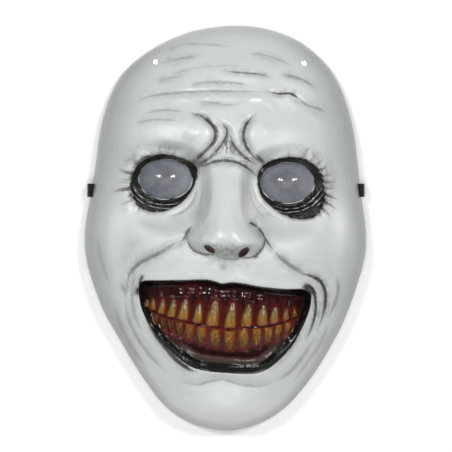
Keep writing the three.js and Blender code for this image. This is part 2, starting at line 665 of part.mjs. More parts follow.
// A flat band along a route, turned about its own line by a roll for each point
function bandGeometry(route, rolls) {
  const halfWidth = strap.width / 2;
  const halfThick = strap.thickness / 2;
  const { chamfer } = strap;
  const section = [
    [-halfWidth, -halfThick + chamfer], [-halfWidth + chamfer, -halfThick], [halfWidth - chamfer, -halfThick],
    [halfWidth, -halfThick + chamfer], [halfWidth, halfThick - chamfer], [halfWidth - chamfer, halfThick],
    [-halfWidth + chamfer, halfThick], [-halfWidth, halfThick - chamfer],
  ];
  const positions = [];
  const indices = [];
  route.forEach((point, i) => {
    const before = new THREE.Vector3(...route[Math.max(0, i - 1)]);
    const after = new THREE.Vector3(...route[Math.min(route.length - 1, i + 1)]);
    const along = after.sub(before).normalize();
    const across = rolls(i, along);
    const face = along.clone().cross(across).normalize();
    for (const [w, t] of section) {
      const corner = new THREE.Vector3(...point).addScaledVector(across, w).addScaledVector(face, t);
      positions.push(corner.x, corner.y, corner.z);
    }
  });
  const sides = section.length;
  for (let i = 0; i + 1 < route.length; i += 1) {
    for (let j = 0; j < sides; j += 1) {
      const a = i * sides + j;
      const b = i * sides + ((j + 1) % sides);
      indices.push(a, b, a + sides, b, b + sides, a + sides);
    }
  }
  const last = (route.length - 1) * sides;
  for (let j = 1; j + 1 < sides; j += 1) {
    indices.push(0, j + 1, j);
    indices.push(last, last + j, last + j + 1);
  }
  const geometry = new THREE.BufferGeometry();
  geometry.setAttribute('position', new THREE.Float32BufferAttribute(positions, 3));
  geometry.setIndex(indices);
  return geometry;
}

// The free run: flat where it leaves each sewn end, on edge where it lies on the ground
function strapRunGeometry() {
  const route = throughPoints(strapRoute, false, 1);
  const travelled = [0];
  for (let i = 1; i < route.length; i += 1) {
    const step = route[i].map((value, axis) => value - route[i - 1][axis]);
    travelled.push(travelled[i - 1] + Math.hypot(...step));
  }
  const total = travelled[travelled.length - 1];
  return bandGeometry(route, (i, along) => {
    const fromEnd = Math.min(travelled[i], total - travelled[i]);
    const turn = smoothStep(0, strap.twistLength, fromEnd) * (Math.PI / 2);
    const level = new THREE.Vector3(0, 0, 1).cross(along).normalize();
    const upright = along.clone().cross(level).normalize();
    return level.multiplyScalar(Math.cos(turn)).addScaledVector(upright, Math.sin(turn));
  });
}

// A sewn end: in from the run, out by the upper slot, round a loop and back in by the lower slot
const sewnEnd = { level: 2.6, levelRise: 0.1, bend: 4.8, upperRise: 1, lowerDrop: 0.7, inFrontOfWall: 4.4 };

function strapEndGeometry(side) {
  const wallX = side < 0 ? wallAtStrap.left : wallAtStrap.right;
  const [startX, , startZ] = side < 0 ? strapRoute[0] : strapRoute[strapRoute.length - 1];
  const runX = startX + side * touchGap;
  const under = startZ - strap.thickness - touchGap;
  const half = (slot.upper - slot.lower) / 2;
  const loopX = wallX + side * (strap.loopOut - half - strap.thickness / 2);
  const levelX = runX + side * sewnEnd.level;
  const bendX = runX + side * sewnEnd.bend;
  const insideX = wallX - side * sewnEnd.inFrontOfWall;
  const upper = [
    [runX, startZ], [levelX, startZ + sewnEnd.levelRise], [bendX, startZ + sewnEnd.upperRise],
    [insideX, slot.upper],
  ];
  const lower = [
    [insideX, slot.lower], [bendX, under - sewnEnd.lowerDrop], [levelX, under - sewnEnd.levelRise],
    [runX, under],
  ];
  const loop = Array.from({ length: strap.loopBends + 1 }, (_, i) => {
    const angle = (i / strap.loopBends) * Math.PI;
    return [loopX + side * half * Math.sin(angle), slot.lower + half + half * Math.cos(angle)];
  });
  const route = [...upper, ...loop, ...lower].map(([x, z]) => [x, strapAt, z]);
  return bandGeometry(route, () => new THREE.Vector3(0, side, 0));
}

const materials = {
  shell: new THREE.MeshStandardMaterial({ color: '#cdd1d0', roughness: 0.28, metalness: 0 }),
  lens: new THREE.MeshStandardMaterial({
    color: '#8f94a2', roughness: 0.1, metalness: 0, transparent: true, opacity: 0.6,
  }),
  strap: new THREE.MeshStandardMaterial({ color: '#17181a', roughness: 0.9, metalness: 0 }),
};

const mask = new THREE.Group();

function addPiece(name, geometry, material) {
  const mesh = new THREE.Mesh(geometry, material);
  mesh.name = name;
  mask.add(mesh);
}

addPiece('mask_shell', toGeometry(cutShell()), materials.shell);
for (const eye of eyes) {
  addPiece(`eye_lens_${eye.side}`, toGeometry(toSolid(lensGeometry(eye))), materials.lens);
}
addPiece('elastic_strap', strapRunGeometry(), materials.strap);
addPiece('strap_end_left', strapEndGeometry(-1), materials.strap);
addPiece('strap_end_right', strapEndGeometry(1), materials.strap);

export default mask;
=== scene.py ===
import math

import bpy
import numpy as np
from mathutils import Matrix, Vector


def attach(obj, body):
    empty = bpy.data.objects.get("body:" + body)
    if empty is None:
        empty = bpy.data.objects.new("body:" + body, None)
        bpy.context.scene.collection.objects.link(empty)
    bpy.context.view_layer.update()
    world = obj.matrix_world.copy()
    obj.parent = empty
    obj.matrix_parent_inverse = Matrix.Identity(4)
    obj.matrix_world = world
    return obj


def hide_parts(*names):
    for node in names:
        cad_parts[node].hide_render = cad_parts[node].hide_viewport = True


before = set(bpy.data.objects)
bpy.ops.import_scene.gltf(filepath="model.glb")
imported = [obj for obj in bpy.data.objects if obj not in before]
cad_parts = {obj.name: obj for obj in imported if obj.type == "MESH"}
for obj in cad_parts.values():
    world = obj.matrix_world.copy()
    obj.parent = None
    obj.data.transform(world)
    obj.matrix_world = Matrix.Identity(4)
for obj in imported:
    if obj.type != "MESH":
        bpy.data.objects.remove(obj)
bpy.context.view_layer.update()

# Everything is laid out in millimetres on the mask and turned to metres where a mesh is filled in.
mm = 0.001
# A distance that counts as far off, in millimetres
farOff = 99.0


def say(stage):
    print("mask:", stage, flush=True)


def selectOnly(*objects):
    bpy.ops.object.select_all(action="DESELECT")
    for item in objects:
        item.select_set(True)
    bpy.context.view_layer.objects.active = objects[0]


# Do some work on a whole piece in edit mode
def editAll(piece, work):
    selectOnly(piece)
    bpy.ops.object.mode_set(mode="EDIT")
    bpy.ops.mesh.select_all(action="SELECT")
    work()
    bpy.ops.object.mode_set(mode="OBJECT")


def faceOutwards():
    bpy.ops.mesh.normals_make_consistent(inside=False)


def smoothByAngle(piece, degrees):
    selectOnly(piece)
    bpy.ops.object.shade_smooth_by_angle(angle=math.radians(degrees))


# A new piece from points in millimetres
def meshPiece(name, points, edges, faces):
    bpy.ops.mesh.primitive_plane_add(size=1)
    piece = bpy.context.object
    piece.name = name
    piece.data.clear_geometry()
    piece.data.from_pydata([tuple(value * mm for value in point) for point in points], edges, faces)
    return piece


def meshPoints(piece):
    points = np.empty(len(piece.data.vertices) * 3)
    piece.data.vertices.foreach_get("co", points)
    return points.reshape(-1, 3)


def movePoints(piece, points):
    piece.data.vertices.foreach_set("co", points.reshape(-1))
    piece.data.update()


# A number for each point of the mesh, for the materials to read
def storeField(piece, name, values):
    attribute = piece.data.attributes.new(name, "FLOAT", "POINT")
    attribute.data.foreach_set("value", np.ascontiguousarray(values, np.float32))


def smoothStep(low, high, value):
    t = np.clip((value - low) / (high - low), 0, 1)
    return t * t * (3 - 2 * t)


# Camera: straight above the face, crown up, far off like a long lens
camera = {
    "height": 2.2, "pixel": 0.00064, "frame": 452, "centre": (0.00032, 0.00128), "sensor": 36, "reach": 20,
}


def makeCamera():
    width = camera["pixel"] * camera["frame"]
    bpy.ops.object.camera_add(location=(*camera["centre"], camera["height"]), rotation=(0, 0, 0))
    item = bpy.context.object
    item.name = "camera"
    item.data.sensor_width = camera["sensor"]
    item.data.lens = camera["sensor"] * camera["height"] / width
    item.data.clip_end = camera["reach"]
    bpy.context.scene.camera = item


makeCamera()
say("camera placed")


# Smooth curve through chosen points, as short straight steps
def throughPoints(points, closed, stepsPerPoint):
    given = np.array(points, float)
    if closed:
        ring = np.concatenate([given[-1:], given, given[:2]])
    else:
        ring = np.concatenate([2 * given[:1] - given[1:2], given, 2 * given[-1:] - given[-2:-1]])
    line = []
    for i in range(1, len(ring) - 2):
        before, here, there, after = ring[i - 1:i + 3]
        for t in np.arange(stepsPerPoint) / stepsPerPoint:
            straight = 2 * here + (there - before) * t
            bend = (2 * before - 5 * here + 4 * there - after) * t ** 2
            twist = (3 * here - before - 3 * there + after) * t ** 3
            line.append(0.5 * (straight + bend + twist))
    line.append(given[0] if closed else given[-1])
    return np.array(line)


# Distance to a route, the share of its length where the nearest place is, and the side of it
def nearRoute(x, y, line):
    best = np.full(x.shape, 1e9)
    along = np.zeros(x.shape)
    side = np.ones(x.shape)
    for i in range(len(line) - 1):
        ax, ay = line[i]
        dx, dy = line[i + 1] - line[i]
        t = np.clip(((x - ax) * dx + (y - ay) * dy) / (dx * dx + dy * dy), 0, 1)
        distance = np.hypot(x - ax - t * dx, y - ay - t * dy)
        closer = distance < best
        best = np.where(closer, distance, best)
        along = np.where(closer, (i + t) / (len(line) - 1), along)
        side = np.where(closer, np.sign(dx * (y - ay) - dy * (x - ax)), side)
    return best, along, side


# Signed distance to a closed outline, negative inside
def toOutline(x, y, line):
    inside = np.zeros(x.shape, bool)
    for (ax, ay), (bx, by) in zip(line[:-1], line[1:]):
        if ay != by:
            inside ^= ((ay > y) != (by > y)) & (x < ax + (y - ay) / (by - ay) * (bx - ax))
    distance = nearRoute(x, y, line)[0]
    return np.where(inside, -distance, distance)


# How far out a closed line round the origin lies in a direction
def radiusAt(line, angle):
    angles = np.arctan2(line[:-1, 1], line[:-1, 0])
    order = np.argsort(angles)
    radii = np.hypot(line[:-1, 0], line[:-1, 1])
    return np.interp(angle, angles[order], radii[order], period=2 * math.pi)


def turned(x, y, at, turn):
    angle = math.radians(turn)
    dx = x - at[0]
    dy = y - at[1]
    return dx * math.cos(angle) + dy * math.sin(angle), dy * math.cos(angle) - dx * math.sin(angle)


# A round or oval hump, 1 at its middle and fading to 0
def hump(x, y, at, size, turn=0):
    u, v = turned(x, y, at, turn)
    return np.exp(-(u / size[0]) ** 2 - (v / size[1]) ** 2)


# Elastic strap: a slack band between its two sewn ends, the same route as its solid
strap = {
    "width": 8.5, "thickness": 1.2, "twist": 26, "smoothAngle": 50, "stepsPerPoint": 6,
    "route": [
        (-73.2, 24, 10.6), (-71, 24, 10.6), (-66.8, 25.1, 9.2), (-62.2, 28, 7.2), (-58.4, 32.6, 5.6),
        (-56.4, 38.4, 4.8), (-55.8, 44.6, 4.6), (-54, 51, 4.6), (-49.6, 58, 4.6), (-43, 64.2, 4.6),
        (-34.6, 69.4, 4.6), (-24.6, 73, 4.6), (-13, 75.2, 4.6), (-1, 76, 4.6), (11, 75.4, 4.6),
        (22.6, 73.6, 4.6), (33.4, 69.8, 4.6), (42.2, 64.8, 4.6), (49.2, 58.4, 4.6), (53.8, 51.2, 4.6),
        (56, 44.4, 4.6), (56.8, 38.2, 4.8), (59, 32.4, 5.6), (62.8, 28, 7.2), (67.4, 25.1, 9.2),
        (71.6, 24, 10.6), (73.8, 24, 10.6),
    ],
    # Section: places across as shares of half the width, and the thickness there, with a bead at each edge
    "across": [1.0, 0.93, 0.75, 0.5, 0.25, 0.0, -0.25, -0.5, -0.75, -0.93, -1.0],
    "bead": [0.45, 0.95, 1.0, 0.86, 0.86, 0.86, 0.86, 0.86, 1.0, 0.95, 0.45],
}
# Strap ends: out by the upper slot, round a loop beside the wall and back in by the lower slot. The tail at
# the free run is given as steps outwards and up, the tail sewn under it as steps outwards and down.
strapEnd = {
    "wall": (-85, 85.6), "loopOut": 3.1, "slotUpper": 12.8, "slotLower": 7.2, "at": 24, "gap": 0.3,
    "bends": 14, "beforeSlot": 4.4, "tail": [(0, 0), (2.6, 0.1), (4.8, 1)],
    "tailUnder": [(4.8, 0.7), (2.6, 0.1), (0, 0)],
}


# Closed section of the band: across it and through it
def bandSection():
    across = np.array(strap["across"]) * (strap["width"] / 2)
    bead = np.array(strap["bead"]) * (strap["thickness"] / 2)
    return np.concatenate([np.stack([across, bead], 1), np.stack([-across, -bead], 1)])


# A band swept along its line: a ring of points is set across the line at each step, and the rings are joined
def sweepBand(name, line, acrossOf):
    section = bandSection()
    rings = []
    for i, point in enumerate(line):
        ahead = line[min(i + 1, len(line) - 1)] - line[max(i - 1, 0)]
        along = ahead / np.linalg.norm(ahead)
        across = acrossOf(i, along)
        across = across - along * across.dot(along)
        across = across / np.linalg.norm(across)
        rings.append(point + section[:, :1] * across + section[:, 1:] * np.cross(along, across))
    sides = len(section)
    faces = []
    for i in range(len(rings) - 1):
        for j in range(sides):
            a = i * sides + j
            b = i * sides + (j + 1) % sides
            faces.append((a, b, b + sides, a + sides))
    faces += [tuple(reversed(range(sides))), tuple(range((len(rings) - 1) * sides, len(rings) * sides))]
    piece = meshPiece(name, np.concatenate(rings), [], faces)
    editAll(piece, faceOutwards)
    length = np.concatenate([[0], np.cumsum(np.linalg.norm(np.diff(line, axis=0), axis=1))])
    storeField(piece, "alongBand", np.repeat(length * mm, sides))
    storeField(piece, "acrossBand", np.tile(section[:, 0] * mm, len(rings)))
    smoothByAngle(piece, strap["smoothAngle"])
    return piece


def strapRun():
    line = throughPoints(strap["route"], False, strap["stepsPerPoint"])
    travelled = np.concatenate([[0], np.cumsum(np.linalg.norm(np.diff(line, axis=0), axis=1))])
    total = travelled[-1]

    # Flat at both ends, where it is sewn, and on edge between them
    def acrossOf(i, along):
        turn = smoothStep(0, strap["twist"], min(travelled[i], total - travelled[i])) * math.pi / 2
        level = np.cross((0, 0, 1), along)
        level = level / np.linalg.norm(level)
        return level * math.cos(turn) + np.cross(along, level) * math.sin(turn)

    return sweepBand("strapRun", line, acrossOf), line, total


def strapEndLine(side):
    start = strap["route"][0] if side < 0 else strap["route"][-1]
    wall = strapEnd["wall"][0] if side < 0 else strapEnd["wall"][1]
    runX = start[0] + side * strapEnd["gap"]
    slotX = wall - side * strapEnd["beforeSlot"]
    upper, lower = strapEnd["slotUpper"], strapEnd["slotLower"]
    half = (upper - lower) / 2
    loopX = wall + side * (strapEnd["loopOut"] - half - strap["thickness"] / 2)
    under = start[2] - strap["thickness"] - strapEnd["gap"]
    points = [(runX + side * out, start[2] + up) for out, up in strapEnd["tail"]]
    points.append((slotX, upper))
    for angle in np.linspace(0, math.pi, strapEnd["bends"] + 1):
        points.append((loopX + side * half * math.sin(angle), (upper + lower) / 2 + half * math.cos(angle)))
    points.append((slotX, lower))
    points += [(runX + side * out, under - down) for out, down in strapEnd["tailUnder"]]
    return np.array([(x, strapEnd["at"], z) for x, z in points])


def strapLoop(name, side):
    return sweepBand(name, strapEndLine(side), lambda i, along: np.array((0.0, side, 0.0)))


runPiece, runLine, runLength = strapRun()
loopLeft = strapLoop("strapLoopLeft", -1)
loopRight = strapLoop("strapLoopRight", 1)
strapPieces = {"elastic_strap": runPiece, "strap_end_left": loopLeft, "strap_end_right": loopRight}
for node, piece in strapPieces.items():
    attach(piece, "root")
    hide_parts(node)
say("strap laid, %.0f mm of free run" % runLength)

# Shell: the sheet's size, its rim seen from the front and the large forms of the face
shell = {
    "domeHeight": 66, "roundness": 2.4, "wall": 1.5, "rimFlow": 6, "rimFade": 8, "smoothAngle": 42,
    "cells": (232, 326), "innerCells": (116, 163),
    "rim": [
        (6.5, 129.3), (27, 127), (46.5, 119.5), (61, 108), (70.3, 96), (77, 80.5), (81.7, 62.5), (84.3, 43.5),
        (86.2, 24.5), (88.6, 8), (89.9, -6), (88.7, -20.5), (84.3, -36), (78, -54), (71, -69), (57.4, -92),
        (41.8, -111.5), (28.5, -121.5), (14.5, -127.3), (0.5, -129.3), (-14, -127.3), (-28.5, -121.5),
        (-41, -111.5), (-55.3, -92), (-69, -69), (-77.5, -54), (-84.5, -36), (-88.8, -20.5), (-89.9, -6),
        (-88.5, 8), (-85.5, 24.5), (-82.5, 43.5), (-79.9, 62.5), (-75, 80.5), (-67.5, 96), (-56.5, 107.5),
        (-38.5, 119), (-18, 126.5),
    ],
    "mounds": {
        "forehead": ((0, 84), (52, 26), 4), "brow, left": ((-37, 60), (25, 11), 5),
        "brow, right": ((37, 60), (25, 11), 5), "frown pad, left": ((-15, 58), (9, 12), 3),
        "frown pad, right": ((20, 57), (9, 12), 3), "cheekbone, left": ((-54, -4), (22, 18), 5),
        "cheekbone, right": ((55, -6), (22, 18), 5), "cheek pad, left": ((-42, -13), (17, 14), 2.5),
        "cheek pad, right": ((42, -15), (17, 14), 2.5), "muzzle": ((0, -52), (52, 34), 7),
        "chin": ((1, -118), (38, 17), 20), "temple, left": ((-70, 58), (13, 24), -2.5),
        "temple, right": ((71, 58), (13, 24), -2.5), "orbit, left": ((-62, 27), (13, 22), 5),
        "orbit, right": ((64, 24), (13, 22), 5), "upper lip": ((1, -21), (32, 14), 4),
    },
}
# Nose: height, half width and squareness by y, wings by place, half sizes and rise, and nostrils by place,
# half sizes, turn and depth
nose = {
    "top": (0.5, 42), "tip": (0.9, -4), "baseMiddle": -22, "baseCurve": 0.0125, "baseFall": 11,
    "height": [
        (-22, 11), (-12, 16.4), (-7, 18.3), (-2, 18.8), (4, 17.5), (14, 13.2), (26, 7.8), (38, 2.8), (47, 0),
    ],
    "half": [
        (-22, 16), (-12, 16), (-7, 15.5), (-2, 15), (4, 14.5), (14, 14.5), (26, 14.5), (38, 13), (47, 11),
    ],
    "squareness": [
        (-22, 3.4), (-7, 3.4), (-2, 3.3), (4, 2.8), (14, 2.3), (26, 2.1), (38, 2), (47, 2),
    ],
    "wings": [((-15.8, -8.6), (7, 7.2), 7.6), ((17.6, -9.8), (7.2, 7.2), 7.6)],
    "nostrils": [((-9.8, -13), (4.4, 2.3), -32, 5), ((11.3, -15), (4.6, 2.7), 40, 5)],
}
# Eyes. The feet are strokes round the socket: direction in degrees, length, half width and darkness
eyes = {
    "left": {
        "at": (-37.5, 30.4), "opening": (16.4, 12.3), "socketAt": (-38.6, 28.6), "socket": (22.5, 19.5),
        "turn": -6, "floor": 54.5, "ridges": (188, 305),
        "paint": [
            (-59.6, 28), (-57.8, 34.5), (-54.5, 39.9), (-48.4, 44.1), (-41.9, 46.3), (-34.6, 45.9),
            (-27.3, 44), (-21.6, 41.5), (-17.6, 37.5), (-18, 30), (-21.5, 22.4), (-26.8, 16.2),
            (-33.4, 12.1), (-40.1, 10), (-48.4, 10.3), (-55.1, 14), (-58.6, 20.8),
        ],
        "feet": [
            (137, 9, 1.1, 0.45), (146, 5, 1.5, 0.8), (154, 5, 1.1, 0.7), (165, 11, 1.5, 0.85),
            (174, 7, 1, 0.6), (181, 10, 1.1, 0.35), (192, 13, 1.6, 0.85), (203, 4, 1.8, 0.9),
            (209, 11, 1.3, 0.4), (226, 4, 1.1, 0.6), (112, 6, 1.2, 0.3), (97, 8, 1.3, 0.4),
            (84, 7, 1.2, 0.35), (70, 6, 1.2, 0.45),
        ],
    },
    "right": {
        "at": (38.8, 28.2), "opening": (16.4, 12.6), "socketAt": (40, 25.6), "socket": (22.8, 20),
        "turn": 8, "floor": 54.5, "ridges": (240, 355),
        "paint": [
            (20.2, 34.5), (23.6, 39.5), (29.2, 42.5), (36.7, 44.2), (45.1, 44.3), (51.3, 42.4),
            (56.9, 38.6), (60.9, 32.8), (62.1, 25.9), (62.6, 19.5), (61.3, 13.6), (58.8, 9.3), (54, 6),
            (47.4, 5.3), (41.5, 5.9), (36, 8.2), (29.3, 12.6), (23.4, 18), (20.7, 23.6), (19.8, 29),
        ],
        "feet": [
            (92, 6, 1.1, 0.35), (66, 10, 1.2, 0.4), (50, 9, 1.2, 0.4), (38, 8, 1.5, 0.6), (27, 6, 1.6, 0.8),
            (16, 7, 1.1, 0.4), (7, 8, 1.4, 0.7), (-3, 9, 1.1, 0.45), (-12, 10, 1.5, 0.85),
            (-23, 10, 1.4, 0.8), (-34, 8, 1.4, 0.65), (-43, 5, 1.3, 0.5),
        ],
    },
}
# Sockets: where the floor ends and the slope reaches the skin, and how much further it runs below
socket = {"squareness": 2.3, "flat": 0.9, "edge": 1.42, "drop": 0.4, "dropPower": 1.5}
# Ridges below the lenses, with painted highlight lines along them: distances from the opening's edge, and
# degrees over which the ridges and the painted lines fade at their ends
ridge = {
    "first": 1.4, "apart": 2.2, "height": 0.35, "starts": (0.6, 1.6), "ends": (9, 6), "fade": 25,
    "glintFade": 30,
}
# Mouth: the hollow, the rolled lips, its outline and the line where the rows of teeth meet
mouth = {
    "depth": 7, "edge": 5, "over": 0.6, "lipRoll": 0.6, "lipAt": 1, "lipWidth": 3.2, "lowerLip": 4.2,
    "lowerLipIn": 4.6, "lowerLipWidth": 3.4, "lowerLipFrom": (-66, -80),
    "outline": [
        (-52, -33), (-40, -32.4), (-27, -32.2), (-13, -31.8), (-6, -33), (-2.5, -34.2), (4.5, -33.5),
        (12.5, -34.5), (22, -36.3), (36.5, -37.8), (48.7, -37.9), (53.2, -40.4), (53.2, -46.5), (49.6, -57.8),
        (43.6, -69.2), (37.9, -77.4), (32.8, -83.3), (27.9, -87.4), (22.3, -90.1), (16.7, -91.1),
        (9.1, -91.1), (-1.4, -90.4), (-11.8, -89.4), (-21.5, -86.8), (-29.8, -81), (-37.6, -73),
        (-45, -63.8), (-50.4, -54.2), (-53.6, -45), (-54.5, -38),
    ],
    "bite": [
        (-53.5, -46.5), (-47, -51.5), (-37.5, -55.5), (-22, -59), (-8.5, -61.8), (3.5, -63.2), (15, -62),
        (24.5, -61.4), (30.5, -60.3), (38, -58.5), (44.5, -56.2), (50, -52),
    ],
}
# Fine creases across the lower lip
lipCrease = {"height": 0.1, "in": 4, "width": 3, "ripples": (2.4, 1.5, 5)}
# Rows of teeth. Each tooth: foot x, half width at the foot, root x, root y
upperRow = {
    "way": 1, "rootShare": 0.42, "taper": 1.7, "wider": 1, "gum": 1.3, "gumAt": (0.4, 3.4),
    "gumSize": (0.9, 3.4),
    "teeth": [
        (-49, 1.5, -48.9, -44.7), (-45.6, 1.9, -45.3, -43.9), (-40.2, 2.3, -38.9, -44.3),
        (-33.8, 2.6, -31.9, -44.7), (-26.5, 3.1, -24.7, -44.7), (-17.2, 2.8, -16.2, -46.8),
        (-8.2, 3.7, -6.1, -45.6), (2.8, 3.3, 4.7, -46.8), (12.9, 3.2, 14.7, -47.6), (23, 3.1, 23.8, -48.5),
        (30.4, 2.7, 31.3, -49.7), (37.9, 2, 38, -50), (43.4, 1.6, 43.3, -50.2),
    ],
}
lowerRow = {
    "way": -1, "rootShare": 0.8, "taper": 3, "wider": 1.12, "gum": 2.5, "gumAt": (0, -3.2), "gumSize": (1, 2),
    "teeth": [
        (-43.7, 1.7, -43.4, -60), (-39.5, 1.8, -39.4, -62.6), (-34.3, 2.1, -34.2, -64.4),
        (-28.9, 2.2, -28.7, -66.6), (-22.3, 2.5, -22.2, -68), (-14.7, 2.6, -14.6, -70),
        (-6.3, 2.7, -6.2, -72.4), (2.7, 2.9, 2.6, -74.4), (11.2, 2.8, 11, -73.2), (19.7, 2.5, 19.4, -71.8),
        (27, 2.4, 26.6, -70.4), (33.3, 2.1, 32.9, -68), (39.4, 1.9, 38.8, -65.4),
    ],
}
tooth = {
    "height": 2.6, "soft": 1.6, "crown": 0.8, "rootFall": 0.5, "rootHalf": 1, "footRound": 0.65,
    "swell": 1.14, "biteGap": 0.6,
}
# The upper gum bulges between the teeth and the lip
gumRoll = {
    "starts": 3.4, "crest": 8.8, "ends": 12, "height": 2, "rib": 0.45, "ripples": (7.4, 1.3, 4), "middle": -4,
    "side": (40, 24), "level": (-50, -44),
}

